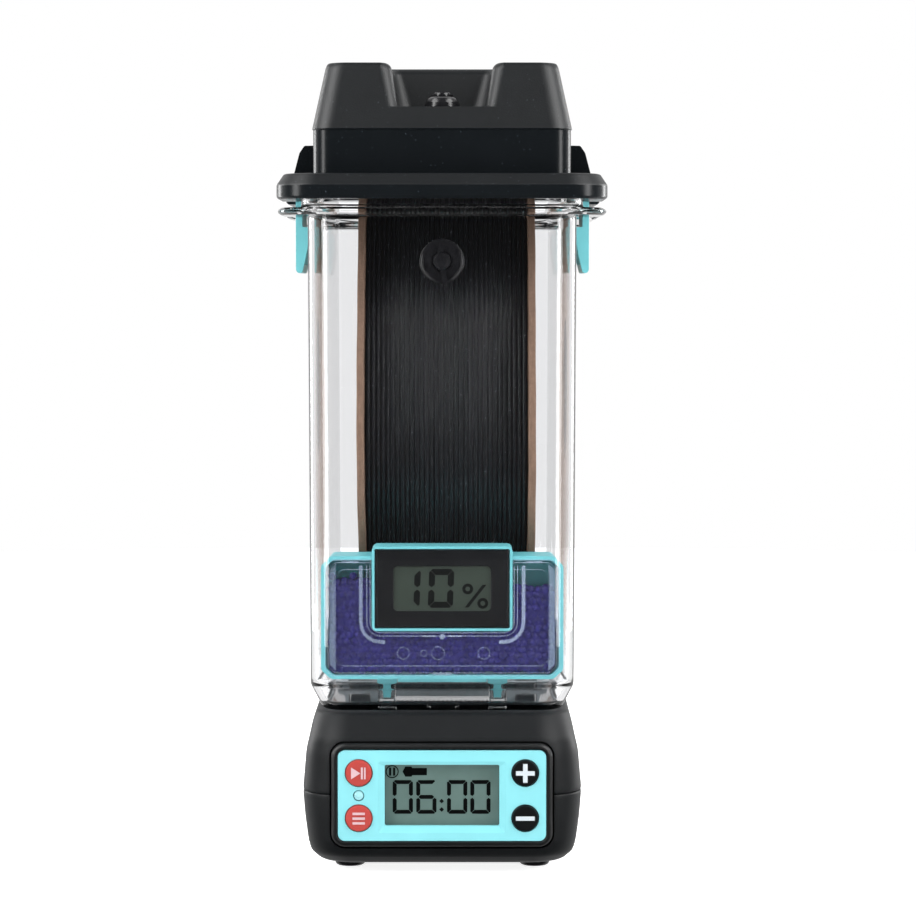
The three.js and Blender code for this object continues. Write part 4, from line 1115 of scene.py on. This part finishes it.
def lid_notch():
    """The notch in the lid's front edge, with a rolled rim at its top."""
    levels = [(NOTCH_FLOOR, 0), (LID_HEIGHT - 2.4, 0)]
    for step in range(1, 6):
        angle = math.pi / 2 * step / 5
        levels.append((LID_HEIGHT - 2.4 + 2.45 * math.sin(angle), 2.4 * (1 - math.cos(angle))))
    rings = []
    lean = FRONT_LEAN / (LID_HEIGHT - CREASE)
    for z, flare in levels:
        share = (z - NOTCH_FLOOR) / (LID_HEIGHT - NOTCH_FLOOR)
        front = -LID_BODY_DEPTH / 2 + lean * (z - CREASE) - 0.03
        half = 15.8 + 2.6 * share + flare
        outline = notch_outline(half, -78 + 6 * share + flare, front, 5.6 - 2.2 * share, 4 + share)
        rings.append([(x, y, z) for x, y in outline])
    return loft("notch", rings)


def notch_wall():
    """The notch with its walls, kept out of the lid's hollow."""
    rings = []
    for half, back, z in ((21, -74, NOTCH_FLOOR - 2.5), (25, -67, LID_HEIGHT + 3)):
        rings.append(ring(2 * half, back + 170, 8, z, (0, (back - 170) / 2)))
    return loft("notch_wall", rings)


def latch_tower(side, end):
    half = 21
    section = rounded_path(
        [(44, 8.3), (54.4, 8.3), (54.2, 9.2), (52.0, 17.6), (50.2, 20.2), (44, 20.3)], 0.5, 3, closed=True,
    )
    outline = [(side * x, z) for x, z in section]
    if side < 0:
        outline.reverse()
    tower = prism("tower", outline, 2 * half)
    return move(tower, 0, LATCH_Y * end + half, 0, matrix=FACING_FRONT)


def lid_body():
    """The lid's raised body with its notch, drawn with the flange's underside at z = 0."""
    width, depth = LID_BODY_WIDTH, LID_BODY_DEPTH
    profile = [
        (width - 0.8, depth - 0.8, 7.6, FLANGE_TOP - 1), (width - 0.8, depth - 0.8, 7.6, CREASE - 0.3),
        (width, depth, 8, CREASE + 0.1), (width - 10, depth - 2 * FRONT_LEAN, 7, LID_HEIGHT),
    ]
    side = rounded_path(profile, 0.25, 2)[:-1]
    crown = rounded_path([
        profile[2], profile[3], (width - 30, depth - 2 * FRONT_LEAN - 20, 4, LID_HEIGHT),
    ], 3.2, 8)[1:-1]
    return loft("lid_cover", [ring(w, d, r, z) for w, d, r, z in side + crown])


def lid_shell():
    flange_width = extent("lid_shell").x
    flange_depth = extent("lid_shell").y
    edge = rounded_path([
        (flange_width - 1.6, flange_depth - 1.6, 14, 0), (flange_width, flange_depth, 15, 0.7),
        (flange_width, flange_depth, 15, 5), (flange_width - 5, flange_depth - 5, 12.5, FLANGE_TOP - 0.3),
        (flange_width - 7, flange_depth - 7, 11.5, FLANGE_TOP),
    ], 0.8, 3)
    lid = lid_body()
    combine(lid, loft("flange", [ring(w, d, r, z) for w, d, r, z in edge]), operation="UNION")
    combine(lid, lid_notch())
    for side, end in product((-1, 1), repeat=2):
        combine(lid, latch_tower(side, end), operation="UNION")
    width = LID_BODY_WIDTH - 5
    depth = LID_BODY_DEPTH - 5
    cavity = loft("cavity", [
        ring(width, depth, 6, -1), ring(width, depth, 6, CREASE),
        ring(width - 10, depth - 2 * FRONT_LEAN, 5, LID_HEIGHT - 2.5),
    ])
    combine(cavity, notch_wall())
    combine(lid, cavity)
    combine(lid, loft("collar_room", [
        ring(COLLAR_WIDTH + 1.4, COLLAR_DEPTH + 1.4, 15, level) for level in (-1, 6)
    ]))
    for side, end in product((-1, 1), repeat=2):
        combine(lid, latch_room(side, end, 50.9, -1, 9.6))
        combine(lid, latch_room(side, end, 46.8, FLANGE_TOP, 17.5))
    port = middle("port_grommet_lid")
    combine(lid, move(prism("hole", circle(5, 40), 10), 0, port.y, NOTCH_FLOOR - 6))
    move(lid, z=LID_Z)
    round_edges(lid, 0.35, 3, 38)
    add(lid, "lid", "lid", "lid_plastic", "lid_shell")


def lid_gasket():
    """A rubber seal with a rounded section."""
    size = extent("lid_gasket")
    base = low("lid_gasket").z
    top = high("lid_gasket").z
    section = rounded_path([(0, base), (0, top), (2.4, top), (2.4, base)], 0.8, 3, closed=True)
    rings = [ring(size.x - 2 * inset, size.y - 2 * inset, 14 - inset, z) for inset, z in section]
    seal = loft("lid_seal", rings, looped=True)
    shade(seal, 60)
    add(seal, "lid", "rubber", "black_rubber", "lid_gasket")


def latch(node, body, side):
    """A teal latch: a plate that thickens below its ledge, with a finger lip at its foot."""
    pivot_x, pivot_z = 49.4, LID_Z + 13.6
    half = 17
    section = rounded_path([
        (4.2, -5.1), (1.5, 1.75), (0, 2.3), (-1.6, 1.6), (-2.3, 0), (-1.6, -1.6), (1.8, -4.4), (1.8, -22.8),
        (-0.6, -22.8), (-0.6, -28.6), (1.5, -38.1), (2.0, -39.6), (3.5, -39.6), (4.2, -38.6),
    ], 0.6, 4, closed=True)
    plate = move(prism(node + "_clip", section[::-1], 2 * half), y=half, matrix=FACING_FRONT)
    for along in (-10.5, 0, 10.5):
        recess = loft("recess", [
            ring(4, 8.2, 0.9, -36.5, (0.2, along), 4), ring(4, 8.2, 0.9, -25.0, (-1.4, along), 4),
        ])
        combine(plate, recess)
    pin = turned("pin", [(0, -19), (1.1, -19), (1.3, -18.7), (1.3, 18.7), (1.1, 19), (0, 19)], 24)
    move(pin, matrix=FACING_FRONT)
    combine(plate, pin, operation="UNION")
    turn = HALF_TURN if side < 0 else None
    move(plate, side * pivot_x, middle(node).y, pivot_z, matrix=turn)
    round_edges(plate, 0.4, 3, 40)
    add(plate, body, "teal", "teal_plastic", node)


# ---- Desiccant cartridge -----------------------------------------------------------------------

TRAY_FRONT = low("cartridge_cover").y + 0.2
TRAY_BASE = low("silica_gel").z - 1.9
TRAY_MIDDLE_Y = TRAY_FRONT + 9.5
TRAY_WIDTH = extent("cartridge_tray").x
TRAY_HEIGHT = 44.4
METER_MIDDLE = middle("hygrometer_body")
METER_SIZE = extent("hygrometer_body")


def tray_outline(inset, chamfer):
    """The tray's front outline, standing on height 0, with cut corners."""
    half = TRAY_WIDTH / 2 - inset
    bottom, top = inset, TRAY_HEIGHT - inset
    corners = [
        (-half + chamfer, bottom), (half - chamfer, bottom), (half, bottom + chamfer), (half, top - chamfer),
        (half - chamfer, top), (-half + chamfer, top), (-half, top - chamfer), (-half, bottom + chamfer),
    ]
    return rounded_path(corners, 1.0, 3, closed=True)


def tray_slab(name, inset, chamfer, front, back):
    """A slab of the tray's outline between two depths, measured back from the tray's front."""
    slab = prism(name, tray_outline(inset, chamfer), back - front)
    return move(slab, y=TRAY_FRONT + back, z=TRAY_BASE, matrix=FACING_FRONT)


def meter_slab(name, grow, front, back, radius=0.6):
    """A slab round the hygrometer between two depths, measured back from the tray's front."""
    width = METER_SIZE.x + 0.6 + 2 * grow
    height = METER_SIZE.z + 0.6 + 2 * grow
    rings = [ring(width, height, radius + max(grow, 0), depth, steps=5) for depth in (0, back - front)]
    return move(loft(name, rings), 0, TRAY_FRONT + back, METER_MIDDLE.z, matrix=FACING_FRONT)


def tray_leg(x):
    """A leg that curves in to the tongue that stands in its socket."""
    curve = [(3.6, 1.0), (3.6, -3.6), (2.9, -4.3), (1.9, -4.7), (1.4, -5.5), (1.35, -7.4)]
    right = rounded_path(curve, 0.6, 3)
    outline = [(x + px, pz) for px, pz in reversed(right)] + [(x - px, pz) for px, pz in right]
    leg = prism("leg", outline[::-1], 4.4)
    bm = bmesh.new()
    bm.from_mesh(leg.data)
    bmesh.ops.recalc_face_normals(bm, faces=bm.faces)
    bm.to_mesh(leg.data)
    bm.free()
    return move(leg, y=TRAY_MIDDLE_Y + 3.2, z=TRAY_BASE, matrix=FACING_FRONT)


def cartridge_tray():
    tray = tray_slab("tray", 0, 3.3, 0, 19)
    combine(tray, meter_slab("frame", 1, -0.4, 14, 0.9), operation="UNION")
    room = tray_slab("room", 1.4, 2.7, -3, 17.4)
    combine(room, meter_slab("frame", 1, -6, 14, 0.9))
    combine(tray, room)
    combine(tray, meter_slab("meter_room", 0, -3, 12.8))
    keel = block((-16, TRAY_FRONT + 1.2, TRAY_BASE - 1.5), (16, TRAY_FRONT + 12, TRAY_BASE + 1))
    combine(tray, tray_leg(-LEG_X), tray_leg(LEG_X), keel, operation="UNION")
    tray.name = "desiccant_tray"
    round_edges(tray, 0.3, 2, 40)
    add(tray, "cartridge", "teal", "teal_plastic", "cartridge_tray")


def cover_rib(name, outside, inside, front, back):
    """A rib of the cover that follows its U-shaped outline between two insets."""
    rib = tray_slab(name, outside, 2.5, front, back)
    combine(rib, tray_slab("room", inside, 2.2, front - 1, back + 1))
    combine(rib, meter_slab("gap", 1.3, -5, 8, 0.9))
    return rib


def meter_rib(name, outside, inside, front, back):
    """A rib of the cover that runs round the meter, open at the top."""
    rib = meter_slab(name, outside, front, back, 2.2)
    combine(rib, meter_slab("gap", inside, -5, 8, 2.0))
    combine(rib, block((-60, -140, TRAY_BASE + TRAY_HEIGHT - 3.4), (60, -60, TRAY_BASE + 80)))
    return rib


def cartridge_cover():
    """A clear U-shaped cover with pegs, snap tabs and ribs near its edge and round the meter; the ribs carry
    a painted highlight in pale colour.
    """
    cover = tray_slab("cover", 1.2, 2.9, -0.1, 1.2)
    combine(cover, meter_slab("gap", 1.3, -5, 8, 0.9))
    cover.name = "desiccant_window"
    round_edges(cover, 0.2, 2, 40)
    add(cover, "cartridge", "cover", "clear_plastic", "cartridge_cover")

    meter_low = METER_MIDDLE.z - METER_SIZE.z / 2
    ribs = [
        cover_rib("rim", 1.2, 1.5, -0.3, 0.1), cover_rib("rail", 2.2, 2.4, -0.3, 0.1),
        cover_rib("step", 4.7, 4.9, -0.2, 0.1),
        meter_rib("inner_rim", 1.75, 1.5, -0.3, 0.1), meter_rib("inner_rail", 2.9, 2.65, -0.3, 0.1),
        move(prism("peg", circle(0.95, 24), 0.9), 0, TRAY_FRONT + 0.1, TRAY_BASE + 15.4, matrix=FACING_FRONT),
    ]
    for side in (-1, 1):
        strip = cover_rib("side_strip", 2.7, 4.5, 1.3, 1.8)
        combine(strip, block((-38.2, -140, TRAY_BASE - 1), (38.2, -60, TRAY_BASE + 60)))
        combine(strip, block((0, -140, TRAY_BASE - 1), (-side * 60, -60, TRAY_BASE + 60), "half"))
        ribs.append(strip)
        bend = meter_rib("meter_bend", 5.6, 4.3, -0.3, 0.3)
        combine(bend, block((-20.5, -140, TRAY_BASE - 1), (20.5, -60, meter_low), "span"))
        combine(bend, block((0, -140, TRAY_BASE - 1), (-side * 60, -60, TRAY_BASE + 60), "half"))
        ribs.append(bend)
    clips = [
        (-33, 42.3, 6, 0.6), (33, 42.3, 6, 0.6), (0, 2.0, 7, 0.6), (-41, 22, 0.6, 7), (41, 22, 0.6, 7),
        (-4.6, 15.6, 5, 0.5), (4.6, 15.6, 5, 0.5),
    ]
    for x, z, wide, tall in clips:
        clip = prism("clip", bar(x, 0, wide, tall), 0.6)
        ribs.append(move(clip, y=TRAY_FRONT + 0.15, z=TRAY_BASE + z, matrix=FACING_FRONT))
    for x, outer in ((-1.5, 2.4), (-6.6, 1.2), (-14, 2.2), (15, 2.2)):
        mark = washer("mark", outer, outer - 0.16, 0.1)
        ribs.append(move(mark, x, TRAY_FRONT - 0.02, TRAY_BASE + 9.4, matrix=FACING_FRONT))
    whole = merge("desiccant_window_ribs", ribs)
    shade(whole, 30)
    # painted highlight: the ribs, clips and rings are pale and part see-through
    add(whole, "cartridge", "rib_glint", "clear_plastic")


def silica_gel():
    """Packed beads behind the window, over a solid heart of the same gel."""
    random.seed(11)
    size = 3.1
    bead = bmesh.new()
    half_width = TRAY_WIDTH / 2 - 3.4
    meter_half = METER_SIZE.x / 2 + 3.2
    meter_bottom = METER_MIDDLE.z - METER_SIZE.z / 2 - 3.0
    base = TRAY_BASE + 3.4

    def fill_top(x):
        slope = -1.9 if x > 0 else 1.6
        return TRAY_BASE + 35.0 + slope + 0.6 * math.sin(x * 0.9)

    depths = (TRAY_FRONT + 3.9, TRAY_FRONT + 4.4)
    row_height = size * 0.78
    for layer, depth in enumerate(depths):
        rows = int(36 / row_height) + 1
        for row in range(rows):
            z = base + row * row_height
            columns = int(2 * half_width / (size * 0.86))
            for column in range(columns + 1):
                x = -half_width + column * size * 0.86 + (row % 2) * size * 0.43 + layer * 0.7
                x += random.uniform(-0.5, 0.5)
                height = z + random.uniform(-0.5, 0.5)
                inside_meter = abs(x) < meter_half and height > meter_bottom
                if abs(x) > half_width or inside_meter or height > fill_top(x):
                    continue
                radius = size / 2 * random.uniform(0.8, 1.2)
                where = Vector((x, depth + random.uniform(-0.4, 0.4), height)) * MM
                bmesh.ops.create_icosphere(
                    bead, subdivisions=2, radius=radius * MM, matrix=Matrix.Translation(where),
                )
    beads = from_bmesh("silica_bead_layer", bead)
    shade(beads, 180)
    add(beads, "cartridge", "beads", "silica_beads", "silica_gel")

    heart = tray_slab("silica_heart", 2.4, 2.0, 2.9, 17.0)
    combine(heart, meter_slab("gap", 1.6, -5, 20, 0.9))
    combine(heart, block((-60, -140, TRAY_BASE + 34), (60, -60, TRAY_BASE + 80)))
    combine(heart, block((0, -140, TRAY_BASE + 31.6), (60, -60, TRAY_BASE + 80)))
    round_edges(heart, 0.6, 3, 40)
    add(heart, "cartridge", "beads", "silica_beads")


def hygrometer():
    """A black bezel that slopes in to its display window."""
    front = -low("hygrometer_body").y
    back = -high("hygrometer_body").y
    body = loft("meter_case", [
        ring(METER_SIZE.x - 1, METER_SIZE.z - 1, 0.6, back, steps=5),
        ring(METER_SIZE.x, METER_SIZE.z, 0.8, back + 0.5, steps=5),
        ring(METER_SIZE.x, METER_SIZE.z, 0.8, front - 0.5, steps=5),
        ring(METER_SIZE.x - 1.8, METER_SIZE.z - 1.8, 0.6, front, steps=5),
    ])
    window = loft("window", [
        ring(36, 17.3, 0.6, front - 2.6, steps=5), ring(34.8, 16.0, 1.6, front - 0.5, steps=5),
        ring(35.6, 16.8, 2.0, front + 0.2, steps=5),
    ])
    combine(body, window)
    combine(body, move(prism("cell_room", circle(6.2, 48), 6.2), 12, 0, back - 0.2))
    move(body, 0, 0, METER_MIDDLE.z, matrix=FACING_FRONT)
    round_edges(body, 0.25, 3, 30)
    add(body, "cartridge", "meter", "black_button_plastic", "hygrometer_body")

    glass_size = extent("hygrometer_lcd")
    face = -low("hygrometer_lcd").y
    glass = loft("meter_display", [
        ring(glass_size.x, glass_size.z, 0.3, face - glass_size.y, steps=4),
        ring(glass_size.x, glass_size.z, 0.3, face - 0.2, steps=4),
        ring(glass_size.x - 0.3, glass_size.z - 0.3, 0.25, face, steps=4),
    ])
    move(glass, 0, 0, METER_MIDDLE.z, matrix=FACING_FRONT)
    shade(glass)
    add(glass, "cartridge", "meter_display", "meter_glass", "hygrometer_lcd")

    slant = 0.04
    digit = (9.0, 14.0, 2.2)
    outlines = shifted(digit_outlines("1", *digit), -12.4, 0.1, slant)
    outlines += shifted(digit_outlines("0", *digit), -0.4, 0.1, slant)
    outlines += shifted([[(-3.9, -4.1), (-2.5, -4.1), (3.9, 4.1), (2.5, 4.1)]], 12.0, -2.7)
    washers = [(9.2, -0.1, 1.95, 0.85), (14.6, -5.3, 1.95, 0.85)]
    display_marks("meter_segments", outlines, washers, METER_MIDDLE, -face - 0.01, "cartridge", "meter_glass")


# ---- Spool -------------------------------------------------------------------------------------

SPOOL = middle("filament_winding")


def spool_flanges():
    for side_name, side in SIDES.items():
        node = f"spool_flange_{side_name}"
        half = extent(node).x / 2
        radius = extent(node).z / 2
        section = rounded_path([
            (27.5, -half), (radius, -half), (radius, half), (27.5, half),
        ], 0.5, 3, closed=True)
        disc = turned(node + "_card", section, 160, closed=True)
        for vertex in disc.data.vertices:
            angle = math.atan2(vertex.co.y, vertex.co.x)
            waver = math.sin(angle * 5 + side) * 0.12 + math.sin(angle * 23) * 0.05
            rim = vertex.co.xy.length / (radius * MM)
            vertex.co.z += waver * MM * rim ** 3
        move(disc, *middle(node), matrix=ALONG_X)
        shade(disc, 45)
        add(disc, "spool", "cardboard", "cardboard", node)
    half = extent("spool_core").x / 2
    core = turned("spool_tube", rounded_path(
        [(46, -half), (50, -half), (50, half), (46, half)], 0.4, 3, closed=True), 96, closed=True)
    move(core, *SPOOL, matrix=ALONG_X)
    shade(core, 45)
    add(core, "spool", "cardboard", "cardboard", "spool_core")


def filament_winding():
    """Turns of 1.75 mm filament side by side, with a groove between each and the next."""
    random.seed(3)
    half = extent("filament_winding").x / 2
    outer = extent("filament_winding").z / 2
    strand = 1.75 / 2
    turns = int(2 * half / (2 * strand))
    step = 2 * half / turns
    profile = [(50.4, -half), (outer - 2, -half)]
    for turn in range(turns):
        centre = -half + (turn + 0.5) * step
        lift = random.uniform(-0.025, 0.025)
        if turn:
            profile.append((outer - 1.5 * strand, -half + turn * step))
        for part in range(1, 8):
            angle = math.pi * (1 - part / 8)
            x = centre + strand * math.cos(angle) * step / (2 * strand)
            profile.append((outer - strand + lift + strand * math.sin(angle), x))
    profile += [(outer - 2, half), (50.4, half)]
    coil = turned("filament_coil", profile, 240, closed=True)
    move(coil, *SPOOL, matrix=ALONG_X)
    shade(coil, 75)
    add(coil, "spool", "filament", "filament", "filament_winding")


# ---- Hidden pieces -----------------------------------------------------------------------------

# Material, slot and body of each piece that keeps its CAD shape.
HIDDEN = {
    "control_board": ("board", "circuit_board", "dock"),
    "blower_housing": ("hidden", "hidden_plastic", "dock"),
    "blower_impeller": ("hidden", "hidden_plastic", "impeller"),
    "heater_core": ("aluminium", "aluminium", "dock"),
    "air_duct": ("hidden", "hidden_plastic", "dock"),
    "power_jack": ("hidden", "hidden_plastic", "dock"),
    "port_seal_supply": ("rubber", "black_rubber", "dock"),
    "port_seal_return": ("rubber", "black_rubber", "dock"),
    "button_cell": ("steel", "steel", "cartridge"),
}


def hidden_pieces():
    """Hidden pieces keep their CAD shape and get rounded edges and a real material."""
    pieces = dict(HIDDEN)
    for end, side in product(ENDS, SIDES):
        pieces[f"base_screw_{end}_{side}"] = ("steel", "steel", "dock")
    for node, (material, slot, body) in pieces.items():
        piece = refined(node, node + "_finished", 0.2)
        add(piece, body, material, slot, node)


# ---- Studio ------------------------------------------------------------------------------------


def depth_below_one(tree, *outputs):
    """1 for rays whose bounces of the given kinds add up to none, otherwise 0."""
    rays = wired(tree, "LightPath")
    total = rays.outputs[outputs[0]]
    for output in outputs[1:]:
        total = wired(tree, "Math", {0: total, 1: rays.outputs[output]}).outputs["Value"]
    return wired(tree, "Math", {0: total, 1: 0.5}, operation="LESS_THAN").outputs["Value"]


def seen_directly(tree):
    """1 for rays that have met nothing but clear plastic since they left the camera."""
    return depth_below_one(tree, "Diffuse Depth", "Glossy Depth")


def mirrored_glow(tree, direction):
    """How bright the surroundings look in a mirror: dim on the camera's side and pale behind."""
    in_camera_space = wired(
        tree, "VectorTransform", {"Vector": direction},
        vector_type="VECTOR", convert_from="WORLD", convert_to="CAMERA",
    )
    split = wired(tree, "SeparateXYZ", {"Vector": in_camera_space.outputs["Vector"]})
    return wired(tree, "MapRange", {
        "From Min": -0.12, "From Max": 0.5, "To Min": 0.03, "To Max": 0.85, "Value": split.outputs["Z"],
    }, interpolation_type="SMOOTHSTEP").outputs["Result"]


def backdrop():
    """A pale floor that reaches as far as the white surroundings and glows like them in a mirror."""
    reach = 1300
    sweep = mesh_object("studio_floor", [(x, y, 0) for x, y in circle(reach, 96)], [tuple(range(96))])
    surface = Surface("studio_paper", (0.9, 0.9, 0.9), 0.9, specular=0.0)
    tree = surface.tree
    unmirrored = depth_below_one(tree, "Glossy Depth")
    paper = surface.tint(surface.noise(300), (0.89, 0.89, 0.89), (0.91, 0.91, 0.91))
    shade_of_paper = surface.tint(unmirrored, (0.1, 0.1, 0.1), (1, 1, 1), 0, 1)
    surface.colour_from(surface.blend_colours("MULTIPLY", 1.0, paper, shade_of_paper))
    surface.shader.inputs["Emission Color"].default_value = (1, 1, 1, 1)
    onward = tree.nodes.new("ShaderNodeVectorMath")
    onward.operation = "SCALE"
    onward.inputs["Scale"].default_value = -1
    tree.links.new(tree.nodes.new("ShaderNodeNewGeometry").outputs["Incoming"], onward.inputs["Vector"])
    in_mirror = tree.nodes.new("ShaderNodeMix")
    tree.links.new(unmirrored, in_mirror.inputs["Factor"])
    tree.links.new(mirrored_glow(tree, onward.outputs["Vector"]), in_mirror.inputs["A"])
    in_mirror.inputs["B"].default_value = 0.0
    glow = tree.nodes.new("ShaderNodeMix")
    tree.links.new(seen_directly(tree), glow.inputs["Factor"])
    tree.links.new(in_mirror.outputs["Result"], glow.inputs["A"])
    glow.inputs["B"].default_value = 0.85
    tree.links.new(glow.outputs["Result"], surface.shader.inputs["Emission Strength"])
    sweep.data.materials.append(surface.material)
    sweep.visible_glossy = False


def area_light(name, place, target, width, height, power, mirrored=True, seen_through=True):
    """A soft rectangular lamp that faces a target, with sizes in millimetres."""
    light = bpy.data.lights.new(name, "AREA")
    light.shape = "RECTANGLE"
    light.size = width * MM
    light.size_y = height * MM
    light.energy = power
    lamp = bpy.data.objects.new(name, light)
    lamp.location = Vector(place) * MM
    direction = (Vector(target) - Vector(place)).normalized()
    lamp.rotation_euler = direction.to_track_quat("-Z", "Y").to_euler()
    lamp.visible_glossy = mirrored
    lamp.visible_transmission = mirrored and seen_through
    lamp.visible_camera = False
    bpy.context.scene.collection.objects.link(lamp)


def studio_world():
    """White where it is seen, and dim where it is mirrored, above all on the camera's side."""
    world = bpy.data.worlds.new("studio")
    world.use_nodes = True
    tree = world.node_tree
    direction = tree.nodes.new("ShaderNodeTexCoord").outputs["Generated"]
    strength = tree.nodes.new("ShaderNodeMix")
    tree.links.new(seen_directly(tree), strength.inputs["Factor"])
    tree.links.new(mirrored_glow(tree, direction), strength.inputs["A"])
    strength.inputs["B"].default_value = 1.0
    tree.links.new(strength.outputs["Result"], tree.nodes["Background"].inputs["Strength"])
    tree.nodes["Background"].inputs["Color"].default_value = (1, 1, 1, 1)
    bpy.context.scene.world = world


def studio_light():
    studio_world()
    for side, name in ((-1, "left"), (1, "right")):
        area_light(name + "_strip", (side * 700, -460, 300), (0, -60, 190), 200, 640, 3.2)
        area_light(name + "_box", (side * 620, -330, 880), (0, -60, 250), 640, 640, 7)
        area_light(name + "_rim", (side * 700, 460, 300), (0, 60, 190), 200, 640, 3.2, seen_through=False)
    area_light("top_box", (0, -150, 1200), (0, 0, 200), 900, 600, 3, mirrored=False)
    area_light("front_fill", (0, -1300, 1000), (0, 0, 150), 900, 400, 2.6, mirrored=False)
    area_light("front_low", (0, -1300, 170), (0, 0, 120), 900, 200, 1.9, mirrored=False)


def photo_camera():
    """Level with the front port, a little above the middle, looking slightly down."""
    data = bpy.data.cameras.new("photo_camera")
    data.sensor_width = 36
    data.lens = 121.5
    camera = bpy.data.objects.new("photo_camera", data)
    distance = 1100
    camera.location = Vector((5.7, -BOX_DEPTH / 2 - distance, 208)) * MM
    camera.rotation_euler = (math.radians(90 - 3.07), 0, 0)
    bpy.context.scene.collection.objects.link(camera)
    bpy.context.scene.camera = camera


# ---- Build -------------------------------------------------------------------------------------

dock_shells()
panel_bezel()
control_panel()
for button_node in BUTTONS:
    button(button_node)
button_glyphs()
dock_display()
status_light()
feet()
box_shell()
ports()
valves()
cradle()
for end_name in ENDS:
    axle(f"roller_axle_{end_name}")
    for side_name in SIDES:
        bearing(f"roller_{end_name}_{side_name}", f"{end_name}_{side_name}_roller")
lid_shell()
lid_gasket()
for end_name in ENDS:
    for side_name, side_sign in SIDES.items():
        latch(f"latch_{end_name}_{side_name}", f"{end_name}_{side_name}_latch", side_sign)
cartridge_tray()
cartridge_cover()
silica_gel()
hygrometer()
spool_flanges()
filament_winding()
hidden_pieces()
backdrop()
studio_light()
photo_camera()
bpy.context.scene.view_settings.view_transform = "Standard"

bpy.context.view_layer.update()
